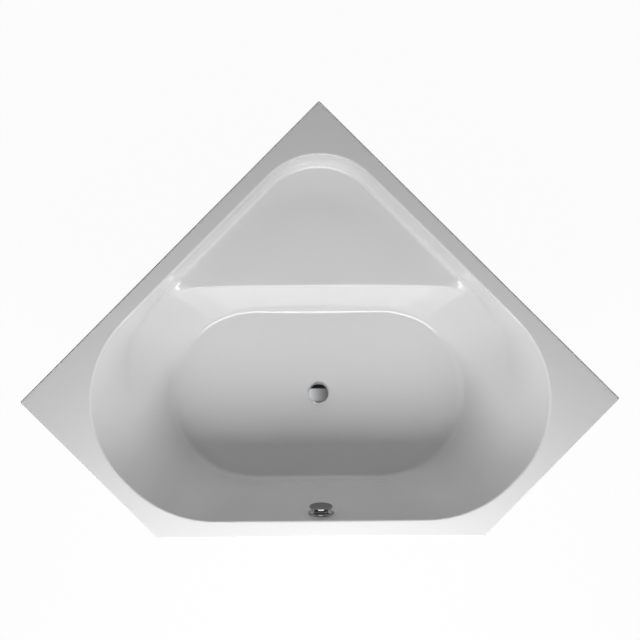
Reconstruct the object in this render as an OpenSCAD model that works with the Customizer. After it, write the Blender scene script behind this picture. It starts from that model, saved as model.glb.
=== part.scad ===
// Pentagonal corner bathtub with seat shelf, waste, overflow, trap and levelling feet.
// Millimetres. Z is up and the origin is on the room's floor, below the middle of the outline.

/* [Plan] */
// Length of each long edge that stands against a room wall
back_len = 1400; // [1360:10:1500]
// Length of each short side edge
short_len = 640; // [620:10:700]
// Radius of the five outer corners
corner_r = 5; // [3:1:10]
// Radius of the well's lip in the wall corner
apex_r = 240; // [200:10:280]
// Radius of the well's lip at each side corner
side_r = 365; // [330:5:380]
// Radius of the well's lip at each front corner
front_r = 398; // [350:2:410]

/* [Rim] */
// Height of the rim's top above the room's floor
rim_h = 590; // [570:5:640]
// Width of the rim where it is narrowest
rim_w = 57; // [54:1:66]
// Height of the rim's turned-down edge
skirt_h = 40; // [30:1:60]
// Radius between the rim and its turned-down edge
edge_r = 6; // [3:1:8]
// Radius between the rim and the well's wall
lip_r = 9; // [7:1:14]

/* [Well] */
// Depth of the well below the rim, at the floor's edge
well_d = 440; // [420:5:460]
// Half of the oval floor's length
oval_half_len = 525; // [500:5:550]
// Half of the oval floor's width
oval_half_w = 298; // [280:2:305]
// Radius between the floor and the walls
floor_r = 45; // [30:1:55]
// Fall of the floor from its edge to the waste
floor_fall = 6; // [2:1:8]
// Distance of the waste behind the middle of the oval floor
waste_shift = 7; // [0:1:20]

/* [Seat] */
// Depth of the seat shelf below the rim
seat_d = 220; // [190:5:240]
// Distance from the wall corner's tip to the seat's front edge
seat_reach = 607; // [590:1:620]
// How far the ends of the seat's front edge curl forwards
seat_curl = 12; // [0:1:20]
// Run of the wall between the lip and the back of the seat
seat_draft = 13; // [8:1:20]
// Radius of the seat's front edge
nose_r = 12; // [8:1:18]
// Radius between the seat and the wall behind it
seat_back_r = 18; // [12:1:30]

/* [Shell and boards] */
// Thickness of the moulded shell
shell_t = 5; // [4:0.5:6]
// Thickness of the base board
base_board_t = 16; // [12:1:20]
// Distance of the base board inside the oval floor's edge
base_board_margin = 60; // [50:1:90]
// Radius of the cut-out round the waste in the base board
cutout_r = 60; // [52:1:70]
// Thickness of the seat board
seat_board_t = 12; // [9:1:18]
// Distance of the seat board inside the seat's edges
seat_board_margin = 36; // [30:1:60]
// Width of the seat board's cut-off back edge
seat_board_back = 300; // [200:10:340]
// Width of the battens under the rim
batten_w = 30; // [20:1:32]
// Thickness of the battens under the rim
batten_t = 16; // [10:1:20]
// Distance of each batten's ends from the outline's corners
batten_end = 60; // [30:5:120]

/* [Rails, post and feet] */
// Distance of each rail from the middle
rail_x = 330; // [280:5:350]
// Length of the rails
rail_len = 660; // [640:5:690]
// Width of a rail's channel
rail_w = 40; // [36:1:50]
// Height of the rails
rail_h = 25; // [20:1:30]
// Width of each flange of a rail
flange_w = 15; // [12:1:20]
// Thickness of the rail's sheet steel
rail_t = 2; // [1.5:0.5:3]
// Distance of the feet from the rail ends
foot_inset = 20; // [16:1:30]
// Spacing of the screws along a rail
screw_pitch = 180; // [120:5:185]
// Distance from the wall corner's tip to the seat post
post_reach = 431; // [400:1:480]
// Width of the square seat post
post_w = 30; // [28:1:40]
// Width of the plate on top of the seat post
plate_w = 100; // [80:5:120]
// Thickness of the seat post's plates
plate_t = 3; // [2:0.5:5]
// Radius of the threaded foot spindles
spindle_r = 5; // [4:0.5:6]
// How far the threaded foot spindles stand above the rails' underside
spindle_rise = 52; // [44:1:56]
// Radius of the foot pads
pad_r = 25; // [20:1:30]
// Height of the foot pads
pad_h = 18; // [15:1:22]
// Width across flats of the spindle nuts
nut_af = 17; // [16:1:19]
// Height of the spindle nuts
nut_h = 8; // [5:1:10]
// Radius of the wood screws
screw_r = 2; // [1.5:0.5:2.5]
// Length of the wood screws under their heads
screw_len = 11; // [8:1:11]

/* [Waste] */
// Radius of the waste hole in the shell
waste_hole_r = 26; // [25:0.5:28]
// Radius of the chrome waste flange
flange_r = 33; // [32:0.5:34]
// Radius of the waste flange's threaded tube
thread_r = 22; // [20:0.5:24]
// Radius of the plug's cap
plug_r = 35; // [34:0.5:38]
// Height of the plug's cap
plug_h = 6; // [5:0.5:9]
// Radius of the plug's stem
stem_r = 3; // [2.5:0.5:4]
// Lift of the plug from shut to open
plug_lift = 10; // [6:1:10]
// Radius of the waste body's pot
pot_r = 36; // [34:0.5:40]
// Wall thickness of the moulded waste parts
waste_t = 3.5; // [3:0.5:4]
// Height of the waste body's pot
pot_h = 52; // [50:1:56]
// Thickness of the waste seals
seal_t = 3; // [2:0.5:4]
// Radius of the waste body's outlet
outlet_r = 23; // [22:0.5:25]
// Length of the waste body's outlet
outlet_len = 20; // [16:1:24]
// Radius of the lift lever's pin
pin_r = 3; // [2.5:0.5:3.5]

/* [Overflow] */
// Distance of the overflow's middle below the rim
overflow_drop = 75; // [68:1:100]
// Radius of the overflow hole in the shell
overflow_hole_r = 26; // [24:0.5:28]
// Radius of the cover ring
ring_r = 42; // [40:0.5:46]
// Thickness of the cover ring
ring_h = 5; // [4:0.5:7]
// Radius of the rotary knob
knob_r = 38.5; // [36:0.5:40]
// Thickness of the rotary knob's cap
knob_h = 5; // [4:0.5:8]
// Distance of the knob's front from the wall
knob_front = 25; // [22:0.5:30]
// Radius of the knob's shaft
shaft_r = 4; // [3:0.5:5]
// Radius of the elbow's cup behind the wall
cup_r = 30; // [29.5:0.5:33]

/* [Hose, cable and trap] */
// Outer radius of the overflow hose
hose_r = 19; // [17:0.5:19]
// Bore radius of the overflow hose
hose_bore = 14; // [12:0.5:15]
// Distance between the hose's ribs
rib_pitch = 8; // [7:0.5:12]
// Radius of the hose's bend
hose_bend = 110; // [90:5:120]
// Length of the spigots that the hose ends meet
spigot_len = 28; // [24:1:34]
// Radius of the cable's sheath
cable_r = 3; // [2.5:0.5:4]
// Radius of the cable's bends
cable_bend = 50; // [35:5:60]
// Radius of the trap's pipe
trap_r = 16; // [15:0.5:18]
// Radius of the trap's two bends
trap_bend = 24; // [22:1:28]
// Radius of the outlet spigot
drain_r = 20; // [20:0.5:25]
// Length of the outlet spigot
drain_len = 50; // [40:1:60]
// Direction of the outlet spigot in plan
drain_turn = 60; // [55:1:70]
// Straight run of the trap's pipe between its flare and the low bend
trap_leg = 14; // [13:0.5:18]
// Straight run of the trap's riser between its bends
trap_rise = 21; // [18:0.5:22]

/* [Hidden] */
$fn = 64;

// Clearance between a turning or sliding shaft and its bore
run_gap = 0.1;
// Clearance between moulded parts that slip together
slip_gap = 0.15;
// Clearance between soft or curved parts that nearly touch
soft_gap = 0.3;
// Clearance of a through hole round a screw or spindle
hole_gap = 0.6;
// How far a cutting tool runs past the face it cuts
past = 1;

root2 = sqrt(2);
// Depth of the outline from the wall corner's sharp tip to the front edge
tip_depth = (back_len + short_len) / root2;
// What the round corner takes off the tip, shared so that the origin is the middle of the real outline
apex_y = (tip_depth + corner_r * (root2 - 1)) / 2;
front_y = apex_y - tip_depth;
side_x = back_len / root2;
side_y = apex_y - side_x;
front_x = (back_len - short_len) / root2;
outline = [[front_x, front_y], [side_x, side_y], [0, apex_y], [-side_x, side_y], [-front_x, front_y]];
// Point on the plan that the shell's sections radiate from, on the waste's axis
pole = [0, side_y + waste_shift];

floor_z = rim_h - well_d;
low_z = floor_z - floor_fall;
under_z = low_z - shell_t;
seat_z = rim_h - seat_d;
board_z = under_z - base_board_t;
seat_board_z = seat_z - shell_t - seat_board_t;
rail_z = board_z - rail_h;

// Side length of the lip's outline along a short edge, which limits its two radii
short_inner = short_len - rim_w * (1 + tan(22.5));
side_lip_r = min(side_r, short_inner - front_r * tan(22.5) - 1);

function unit(v) = v / norm(v);
function left_of(v) = [-v[1], v[0]];
function ease(x) = let(k = min(1, max(0, x))) k * k * (3 - 2 * k);
function item(list, i) = list[(i + len(list)) % len(list)];

// The polygon with every side moved inwards by d
function inset(poly, d) = [
    for (i = [0:len(poly) - 1])
        let(a = left_of(unit(poly[i] - item(poly, i - 1))), b = left_of(unit(item(poly, i + 1) - poly[i])))
            poly[i] + (a + b) * d / (1 + a * b)];

// For each corner of the polygon: where its arc starts and ends, the arc's centre and radius
function arcs(poly, radii) = [
    for (i = [0:len(poly) - 1])
        let(a = unit(item(poly, i - 1) - poly[i]), b = unit(item(poly, i + 1) - poly[i]),
            half = acos(a * b) / 2, run = radii[i] / tan(half))
            [poly[i] + a * run, poly[i] + b * run, poly[i] + unit(a + b) * radii[i] / sin(half), radii[i]]];

// Distance from the pole to a rounded polygon in the direction u: to an arc or to a straight side
function reach(rounded, u) = [
    for (i = [0:len(rounded) - 1])
        let(a = rounded[i][0] - pole, b = rounded[i][1] - pole, m = rounded[i][2] - pole,
            c = item(rounded, i + 1)[0] - pole, k = m * u, side = c - b)
            if (cross(a, u) >= -0.001 && cross(u, b) > 0 && k > 0)
                k + sqrt(max(0, k * k - m * m + rounded[i][3] * rounded[i][3]))
            else if (cross(b, u) >= -0.001 && cross(u, c) > 0 && (b + c) * u > 0)
                cross(b, side) / cross(u, side)][0];

outer_edge = arcs(outline, [for (i = [0:4]) corner_r]);
skirt_inside = arcs(inset(outline, shell_t), [for (i = [0:4]) max(1, corner_r - shell_t)]);
lip_radii = [front_r, side_lip_r, apex_r, side_lip_r, front_r];
lip_edge = arcs(inset(outline, rim_w), lip_radii);
seat_edge = arcs(inset(outline, rim_w + seat_draft), [for (r = lip_radii) r - seat_draft]);
oval_edge = arcs(
    [for (p = [[1, -1], [1, 1], [-1, 1], [-1, -1]]) [p[0] * oval_half_len, side_y + p[1] * oval_half_w]],
    [for (i = [0:3]) oval_half_w - 0.01]);

// The seat's front edge, and where it meets the wall
seat_front_y = apex_y - seat_reach;
seat_end_x = apex_y - (rim_w + seat_draft) * root2 - seat_front_y;
seat_end_ray = atan2(seat_front_y - pole[1], seat_end_x);
// Angle beside the seat over which the steep wall leans back into the backrest
lean_angle = 40;
// Depth of the shelf below which its edges fade into the backrest's bend, and that bend's extra radius
fade_depth = 60;
fade_r = 180;

function ray_to(p) = atan2(p[1] - pole[1], p[0] - pole[0]);
function arc_rays(arc) = [ray_to(arc[0]), ray_to(arc[2] + unit(arc[0] + arc[1] - 2 * arc[2]) * arc[3]), ray_to(arc[1])];
function spread(a, b, n) = [for (i = [0:n - 1]) a + (b - a) * i / n];

// Directions of the shell's sections: through each corner, and evenly between the corners
ray_keys = concat([-90], arc_rays(outer_edge[0]), arc_rays(outer_edge[1]), [seat_end_ray],
    [ray_to(outer_edge[2][0]), 90]);
ray_steps = [11, 1, 1, 9, 1, 1, 8, 11, 1];
right_rays = [for (k = [0:len(ray_steps) - 1]) each spread(ray_keys[k], ray_keys[k + 1], ray_steps[k])];
rays = concat(right_rays, [90], [for (i = [len(right_rays) - 1:-1:1]) 180 - right_rays[i]]);

// Width of the level patch round the waste hole
patch_margin = 34;
patch_r = waste_hole_r + patch_margin;

// The section's corner points along one ray, as [distance from the pole, height]
function section(a) =
    let(u = [cos(a), sin(a)], rise = asin(sin(a)),
        floor_at = reach(oval_edge, u), lip_at = reach(lip_edge, u), out_at = reach(outer_edge, u),
        lean = ease((seat_end_ray - rise) / lean_angle),
        wall_at = reach(seat_edge, u) * (1 - lean)
            + (floor_at + (lip_at - floor_at) * (well_d - seat_d) / well_d) * lean,
        line_at = (seat_front_y - pole[1]) / max(0.1, sin(a)),
        across = min(1, abs(line_at * cos(a)) / seat_end_x),
        front_at = line_at * (1 - seat_curl / (seat_front_y - pole[1]) * pow(across, 4)),
        shelf = max(0, wall_at - front_at),
        fade = ease(1 - shelf / fade_depth),
        drop = (0.1 + 0.25 * ease((seat_end_ray - rise) / 20)) * fade,
        foot = [floor_at, floor_z], wall = [wall_at, seat_z])
    [[patch_r, low_z], foot, [wall_at - shelf, seat_z] + (foot - wall) * drop, wall,
     [lip_at, rim_h], [out_at, rim_h], [out_at, rim_h - skirt_h], seat_back_r + fade_r * fade];

// Shortest run of a bend's arc along each side of its corner
least_run = 6;

// An arc of radius r round corner i of a section, as [point, normal] pairs.
// The arc is a rational curve, so a corner that is nearly straight needs no special case.
function bend(s, i, r, n) =
    let(p = s[i], a = s[i - 1] - p, b = s[i + 1] - p, half = acos(max(-1, unit(a) * unit(b))) / 2,
        run = min(max(r / tan(half), least_run), 0.48 * norm(a), 0.48 * norm(b)), w = sin(half),
        from = p + unit(a) * run, to = p + unit(b) * run)
    [for (k = [0:n]) let(t = k / n, o = 1 - t, c0 = o * o, c1 = 2 * w * t * o, c2 = t * t)
        [(from * c0 + p * c1 + to * c2) / (c0 + c1 + c2),
         left_of(unit((p - from) * w * o * o + (to - from) * t * o + (to - p) * w * t * t))]];

function wet_side(s) = concat([s[0]],
    [for (c = concat(bend(s, 1, floor_r, 5), bend(s, 2, nose_r, 4), bend(s, 3, s[7], 5),
                     bend(s, 4, lip_r, 5), bend(s, 5, edge_r, 3))) c[0]],
    [s[6]]);

function dry_side(s, a) =
    let(in_at = reach(skirt_inside, [cos(a), sin(a)]), foot = bend(s, 1, floor_r, 3))
    concat([[in_at, rim_h - skirt_h], [in_at, rim_h - shell_t]],
        [for (c = [4, 3, 2]) each
            let(arc = bend(s, c, c == 4 ? lip_r : c == 3 ? s[7] : nose_r, 3))
                [for (k = [3:-1:0]) arc[k][0] - arc[k][1] * shell_t]],
        [for (k = [3:-1:1]) foot[k][0] - foot[k][1] * shell_t],
        [[foot[0][0][0], under_z], [patch_r, under_z]]);

// Overflow: middle of its hole on the wet side of the front wall, and the wall's lean
wall_lean = atan2(side_y - oval_half_w - front_y - rim_w, well_d);
overflow_z = rim_h - overflow_drop;
overflow_y = front_y + rim_w + overflow_drop * tan(wall_lean);

// Places a piece on the overflow's axis: Z points into the well and Y points down the wall
module at_overflow() {
    translate([0, overflow_y, overflow_z]) rotate([wall_lean - 90, 0, 0]) children();
}

// The same change of place for a point
function overflow_point(p) = [
    p[0],
    overflow_y + p[1] * sin(wall_lean) + p[2] * cos(wall_lean),
    overflow_z - p[1] * cos(wall_lean) + p[2] * sin(wall_lean)];

module at_waste() {
    translate([pole[0], pole[1], 0]) children();
}

// A tube wall turned about Z
module pipe(outer, inner, z0, z1) {
    difference() {
        translate([0, 0, z0]) cylinder(r = outer, h = z1 - z0);
        translate([0, 0, z0 - past]) cylinder(r = inner, h = z1 - z0 + 2 * past);
    }
}

// A ribbed union nut with an open bore
module grip_nut(outer, inner, len, ribs) {
    difference() {
        union() {
            cylinder(r = outer, h = len);
            for (k = [0:ribs - 1]) rotate(k * 360 / ribs)
                translate([outer - 0.5, -1.5, 0]) cube([nut_rib + 0.5, 3, len]);
        }
        translate([0, 0, -past]) cylinder(r = inner, h = len + 2 * past);
    }
}

module tub_shell() {
    count = len(rays);
    sections = [for (a = rays) section(a)];
    wet = [for (s = sections) wet_side(s)];
    dry = [for (j = [0:count - 1]) dry_side(sections[j], rays[j])];
    rings = len(wet[0]) + len(dry[0]);
    points = concat(
        [for (k = [0:rings - 1], j = [0:count - 1])
            let(q = k < len(wet[0]) ? wet[j][k] : dry[j][k - len(wet[0])])
                [pole[0] + q[0] * cos(rays[j]), pole[1] + q[0] * sin(rays[j]), q[1]]],
        [[pole[0], pole[1], low_z], [pole[0], pole[1], under_z]]);
    last = (rings - 1) * count;
    faces = concat(
        [for (k = [0:rings - 2], j = [0:count - 1]) each
            let(a = k * count + j, b = k * count + (j + 1) % count, c = b + count, d = a + count)
                [[a, b, c], [a, c, d]]],
        [for (j = [0:count - 1]) [rings * count, (j + 1) % count, j]],
        [for (j = [0:count - 1]) [rings * count + 1, last + j, last + (j + 1) % count]]);
    color("white") difference() {
        polyhedron(points = points, faces = faces, convexity = 8);
        at_waste() translate([0, 0, under_z - past]) cylinder(r = waste_hole_r, h = shell_t + 2 * past);
        at_overflow() translate([0, 0, -shell_t - 2 * past]) cylinder(r = overflow_hole_r, h = shell_t + 4 * past);
    }
}

// Batten under edge i of the rim, between two inset lines, cut off short of the corners
module rim_batten(i) {
    near = inset(outline, shell_t + slip_gap);
    along = unit(item(near, i + 1) - near[i]);
    across = left_of(along) * batten_w;
    start = near[i] + along * batten_end;
    end = item(near, i + 1) - along * batten_end;
    color("burlywood") translate([0, 0, rim_h - shell_t - batten_t]) linear_extrude(batten_t)
        polygon([start, end, end + across - along * batten_w / 2, start + across + along * batten_w / 2]);
}

module rim_batten_side_right() { rim_batten(0); }
module rim_batten_back_right() { rim_batten(1); }
module rim_batten_back_left() { rim_batten(2); }
module rim_batten_side_left() { rim_batten(3); }
module rim_batten_front() { rim_batten(4); }

// Where the rail screws go in, as [x, y]
rail_screw_places = [
    for (side = [-1, 1], edge = [-1, 1], k = [-1, 0, 1])
        [side * rail_x + edge * (rail_w + flange_w) / 2, side_y + k * screw_pitch]];

module wood_screw() {
    cylinder(r = screw_r, h = screw_len);
    translate([0, 0, -screw_r]) cylinder(r = 2 * screw_r, h = screw_r);
}

module base_board() {
    end_r = oval_half_w - base_board_margin;
    end_x = oval_half_len - oval_half_w;
    color("burlywood") difference() {
        translate([0, side_y, board_z]) linear_extrude(base_board_t) union() {
            square([2 * end_x, 2 * end_r], center = true);
            for (side = [-1, 1]) translate([side * end_x, 0]) circle(r = end_r);
        }
        at_waste() translate([0, 0, board_z - past]) {
            cylinder(r = cutout_r, h = base_board_t + 2 * past);
            translate([-cutout_r / 2, -pot_r - spigot_len - 2 * hose_r, 0])
                cube([cutout_r, pot_r + spigot_len + 2 * hose_r, base_board_t + 2 * past]);
        }
        for (p = rail_screw_places) translate([p[0], p[1], board_z - past])
            cylinder(r = screw_r + run_gap / 2, h = screw_len - rail_t + past + run_gap);
    }
}

post_y = apex_y - post_reach;
post_screw_x = plate_w / 2 - 12;

module seat_board() {
    front = seat_front_y + seat_board_margin;
    diagonal = apex_y - (rim_w + seat_draft + seat_board_margin) * root2;
    back_x = seat_board_back / 2;
    color("burlywood") difference() {
        translate([0, 0, seat_board_z]) linear_extrude(seat_board_t)
            polygon([[front - diagonal, front], [diagonal - front, front],
                [back_x, diagonal - back_x], [-back_x, diagonal - back_x]]);
        for (x = [-1, 1], y = [-1, 1])
            translate([x * post_screw_x, post_y + y * post_screw_x, seat_board_z - past])
                cylinder(r = screw_r + run_gap / 2, h = screw_len - plate_t + past + run_gap);
    }
}

foot_y = rail_len / 2 - foot_inset;
foot_places = [
    [-rail_x, side_y - foot_y], [rail_x, side_y - foot_y],
    [-rail_x, side_y + foot_y], [rail_x, side_y + foot_y], [0, post_y]];

// Hat-section rail that is open towards the board, with a hole for each foot's spindle
module rail(side) {
    in_x = rail_w / 2 - rail_t;
    out_x = rail_w / 2;
    tip_x = rail_w / 2 + flange_w;
    color("silver") difference() {
        translate([side * rail_x, side_y + rail_len / 2, rail_z]) rotate([90, 0, 0]) linear_extrude(rail_len)
            polygon([
                [-out_x, 0], [out_x, 0], [out_x, rail_h - rail_t], [tip_x, rail_h - rail_t],
                [tip_x, rail_h], [in_x, rail_h], [in_x, rail_t], [-in_x, rail_t], [-in_x, rail_h],
                [-tip_x, rail_h], [-tip_x, rail_h - rail_t], [-out_x, rail_h - rail_t]]);
        for (y = [-foot_y, foot_y]) translate([side * rail_x, side_y + y, rail_z - past])
            cylinder(r = spindle_r + hole_gap, h = rail_t + 2 * past);
        for (p = rail_screw_places) translate([p[0], p[1], board_z - rail_t - past])
            cylinder(r = screw_r + soft_gap, h = rail_t + 2 * past);
    }
}

module rail_left() { rail(-1); }
module rail_right() { rail(1); }

module rail_screws() {
    color("gainsboro") for (p = rail_screw_places)
        translate([p[0], p[1], board_z - rail_t]) wood_screw();
}

module seat_post() {
    color("silver") difference() {
        translate([0, post_y, 0]) union() {
            translate([-post_w / 2, -post_w / 2, rail_z]) cube([post_w, post_w, seat_board_z - rail_z]);
            translate([-plate_w / 2, -plate_w / 2, seat_board_z - plate_t]) cube([plate_w, plate_w, plate_t]);
        }
        translate([rail_t - post_w / 2, post_y + rail_t - post_w / 2, rail_z + plate_t])
            cube([post_w - 2 * rail_t, post_w - 2 * rail_t, seat_board_z - rail_z]);
        translate([0, post_y, rail_z - past]) cylinder(r = spindle_r + hole_gap, h = plate_t + 2 * past);
        for (x = [-1, 1], y = [-1, 1])
            translate([x * post_screw_x, post_y + y * post_screw_x, seat_board_z - plate_t - past])
                cylinder(r = screw_r + soft_gap, h = plate_t + 2 * past);
    }
}

module seat_post_screws() {
    color("gainsboro") for (x = [-1, 1], y = [-1, 1])
        translate([x * post_screw_x, post_y + y * post_screw_x, seat_board_z - plate_t]) wood_screw();
}

module hex_nut() {
    difference() {
        cylinder(r = nut_af / sqrt(3), h = nut_h, $fn = 6);
        translate([0, 0, -past]) cylinder(r = spindle_r + run_gap, h = nut_h + 2 * past);
    }
}

// Nuts that rest on the web inside the rails and on the post's bottom plate
module foot_nuts() {
    color("gainsboro") for (i = [0:4])
        translate([foot_places[i][0], foot_places[i][1], rail_z + (i < 4 ? rail_t : plate_t)]) hex_nut();
}

module foot_locknuts() {
    color("gainsboro") for (p = foot_places) translate([p[0], p[1], rail_z - nut_h]) hex_nut();
}

// Floor of the socket in a foot pad
socket_z = 6;
collar_z = pad_h + 1;

module foot_spindle(i) {
    color("gainsboro") translate([foot_places[i][0], foot_places[i][1], 0]) {
        translate([0, 0, socket_z]) cylinder(r = spindle_r, h = rail_z + spindle_rise - socket_z);
        translate([0, 0, collar_z]) cylinder(r = 1.5 * spindle_r, h = 7, $fn = 6);
    }
}

module foot_pad(i) {
    color("dimgray") translate([foot_places[i][0], foot_places[i][1], 0]) rotate_extrude()
        polygon([[0, 0], [pad_r, 0], [pad_r, 4], [pad_r / 2, 9], [2 * spindle_r + 1, pad_h],
            [spindle_r + slip_gap, pad_h], [spindle_r + slip_gap, socket_z], [0, socket_z]]);
}

module foot_spindle_front_left() { foot_spindle(0); }
module foot_spindle_front_right() { foot_spindle(1); }
module foot_spindle_back_left() { foot_spindle(2); }
module foot_spindle_back_right() { foot_spindle(3); }
module foot_spindle_seat() { foot_spindle(4); }
module foot_pad_front_left() { foot_pad(0); }
module foot_pad_front_right() { foot_pad(1); }
module foot_pad_back_left() { foot_pad(2); }
module foot_pad_back_right() { foot_pad(3); }
module foot_pad_seat() { foot_pad(4); }

// Heights in the waste: upper seal, flange, lower seal, pot and outlet
upper_seal_t = seal_t / 2;
flange_z = low_z + upper_seal_t;
flange_t = 2.5;
pot_top = under_z - seal_t;
pot_z = pot_top - pot_h;
hub_z = pot_top - 12;
hub_h = 10;
lever_y = 22;
lever_z = pot_z + waste_t + 9.5;
arm_h = 4;
stem_z = lever_z + arm_h / 2 + soft_gap;
// The flange's tube ends above the raised lever
tube_z = stem_z + plug_lift + 6;
// The inlet lies as low as its bore and the pot's floor allow
inlet_z = pot_z + waste_t + hose_bore - 0.5;

module waste_flange() {
    bore = thread_r - waste_t;
    color("lightgray") at_waste() difference() {
        union() {
            rotate_extrude() polygon([
                [bore, flange_z + flange_t - 1], [bore, tube_z], [thread_r, tube_z],
                [thread_r, flange_z], [flange_r, flange_z], [flange_r, flange_z + flange_t / 2],
                [flange_r - 2, flange_z + flange_t], [bore + 2, flange_z + flange_t]]);
            translate([0, 0, hub_z]) cylinder(r = 2 * stem_r, h = hub_h);
            for (k = [0:2]) rotate(90 + k * 120)
                translate([0, -1.25, hub_z + 2]) cube([bore + past, 2.5, hub_h - 4]);
        }
        translate([0, 0, hub_z - past]) cylinder(r = stem_r + run_gap, h = hub_h + 2 * past);
    }
}

module waste_seal_upper() {
    color("dimgray") at_waste() pipe(flange_r - 1, waste_hole_r + 1, low_z, flange_z);
}

module waste_seal_lower() {
    color("dimgray") at_waste() pipe(pot_r + 5, waste_hole_r + 1, pot_top, under_z);
}

// Housing for the lever's outer end, beside the pot
house_x = pot_r + 4;
house_w = 16;
house_l = 30;
house_h = 26;

module waste_body() {
    cavity_top = pot_top - 14;
    house_y = lever_y - house_l / 2;
    house_z = lever_z - house_h / 2;
    color("whitesmoke") at_waste() difference() {
        union() {
            translate([0, 0, pot_z]) cylinder(r = pot_r, h = pot_h);
            translate([0, 0, pot_top - 5]) cylinder(r = pot_r + 6, h = 5);
            translate([0, 0, pot_z - outlet_len]) cylinder(r = outlet_r, h = outlet_len + past);
            translate([0, 0, inlet_z]) rotate([90, 0, 0]) cylinder(r = hose_r, h = pot_r + spigot_len);
            translate([0, lever_y, lever_z]) rotate([0, 90, 0]) cylinder(r = 2.5 * pin_r, h = house_x + waste_t);
            translate([house_x, house_y, house_z]) cube([house_w, house_l, house_h]);
            translate([house_x + house_w / 2, house_y, lever_z]) rotate([90, 0, 0])
                cylinder(r = cable_r + 2, h = 10);
        }
        translate([0, 0, cavity_top]) cylinder(r = thread_r + run_gap, h = pot_h);
        translate([0, 0, pot_z + waste_t]) cylinder(r = pot_r - waste_t, h = cavity_top - pot_z - waste_t);
        translate([0, 0, pot_z - outlet_len - past]) cylinder(r = outlet_r - waste_t - 1.5, h = outlet_len + 10);
        translate([0, 0, inlet_z]) rotate([90, 0, 0]) cylinder(r = hose_bore, h = pot_r + spigot_len + past);
        translate([0, lever_y, lever_z]) rotate([0, 90, 0]) cylinder(r = pin_r + run_gap, h = house_x + 2 * waste_t);
        translate([house_x + waste_t, house_y + 2, house_z + 2]) cube([house_w, house_l - 4, house_h - 4]);
        translate([house_x + house_w / 2, house_y + past + 2, lever_z]) rotate([90, 0, 0])
            cylinder(r = cable_r / 2, h = 14);
    }
}

module lever_cover() {
    color("whitesmoke") at_waste()
        translate([house_x + house_w, lever_y - house_l / 2, lever_z - house_h / 2])
            cube([2, house_l, house_h]);
}

plug_z = flange_z + flange_t + soft_gap + 1.5;
// Height of the cap's edge below its dome
plug_edge_h = 3;

module plug_cap() {
    dome = plug_h - plug_edge_h;
    dome_r = (plug_r * plug_r + dome * dome) / (2 * dome);
    dome_angle = asin(plug_r / dome_r);
    color("silver") at_waste() translate([0, 0, plug_z]) rotate_extrude()
        polygon(concat([[0, 0], [plug_r - 1.5, 0], [plug_r, 1.5]],
            [for (k = [0:8]) let(a = dome_angle * (1 - k / 8))
                [dome_r * sin(a), plug_h - dome_r * (1 - cos(a))]]));
}

module plug_stem() {
    color("silver") at_waste() translate([0, 0, stem_z]) cylinder(r = stem_r, h = plug_z - stem_z);
}

module plug_seal() {
    color("dimgray") at_waste() pipe(flange_r - 4, flange_r - 9, plug_z - 1.5, plug_z);
}

// Lever with its pin, inner arm under the stem and outer crank in its housing
module lift_lever() {
    inner_reach = pot_r - waste_t - 10;
    color("khaki") at_waste() translate([0, lever_y, lever_z]) union() {
        translate([-inner_reach / 3, 0, 0]) rotate([0, 90, 0])
            cylinder(r = pin_r, h = inner_reach / 3 + house_x + house_w - 2);
        translate([-4, -lever_y - 1.5, -arm_h / 2]) cube([8, lever_y + 1.5, arm_h]);
        translate([house_x + waste_t + 2, -2.5, -10]) cube([4, 5, 10]);
    }
}

module overflow_ring() {
    hub_r = shaft_r + 4;
    web_t = ring_h / 2;
    color("lightgray") at_overflow() difference() {
        union() {
            rotate_extrude() polygon([
                [overflow_hole_r, 0], [ring_r, 0], [ring_r, ring_h - 2], [ring_r - 2, ring_h],
                [overflow_hole_r + 3, ring_h], [overflow_hole_r, web_t]]);
            translate([-overflow_hole_r - 1, -5, 0]) cube([2 * overflow_hole_r + 2, 10, web_t]);
            cylinder(r = hub_r, h = web_t);
        }
        translate([0, 0, -past]) cylinder(r = shaft_r + run_gap, h = ring_h + 2 * past);
        for (x = [-1, 1]) translate([x * ring_screw_x, 0, -past])
            cylinder(r = screw_r + soft_gap, h = web_t + 2 * past);
    }
}

// Distance of the ring's screws from the middle, their length and where their heads seat
ring_screw_x = shaft_r + 11;
ring_screw_len = 26;
ring_screw_z = ring_h / 2;

module overflow_screws() {
    color("gainsboro") at_overflow() for (x = [-1, 1]) translate([x * ring_screw_x, 0, ring_screw_z]) union() {
        translate([0, 0, -ring_screw_len]) cylinder(r = screw_r, h = ring_screw_len);
        cylinder(r = 1.75 * screw_r, h = screw_r);
    }
}

gasket_z = -shell_t - soft_gap / 3;

module overflow_gasket() {
    color("dimgray") at_overflow() pipe(ring_r - 2, overflow_hole_r, gasket_z - seal_t, gasket_z);
}

cup_z = gasket_z - seal_t;
// Outer radius of the hose nuts' sleeves, and of their ribs
hose_nut_r = hose_r + 4;
nut_rib = 1.5;
// The hose runs along the wall, as near to it as its upper nut allows
hose_depth = -shell_t - hose_nut_r - nut_rib - 1;
cup_back = hose_depth - hose_r;
cup_d = cup_z - cup_back;

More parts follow.
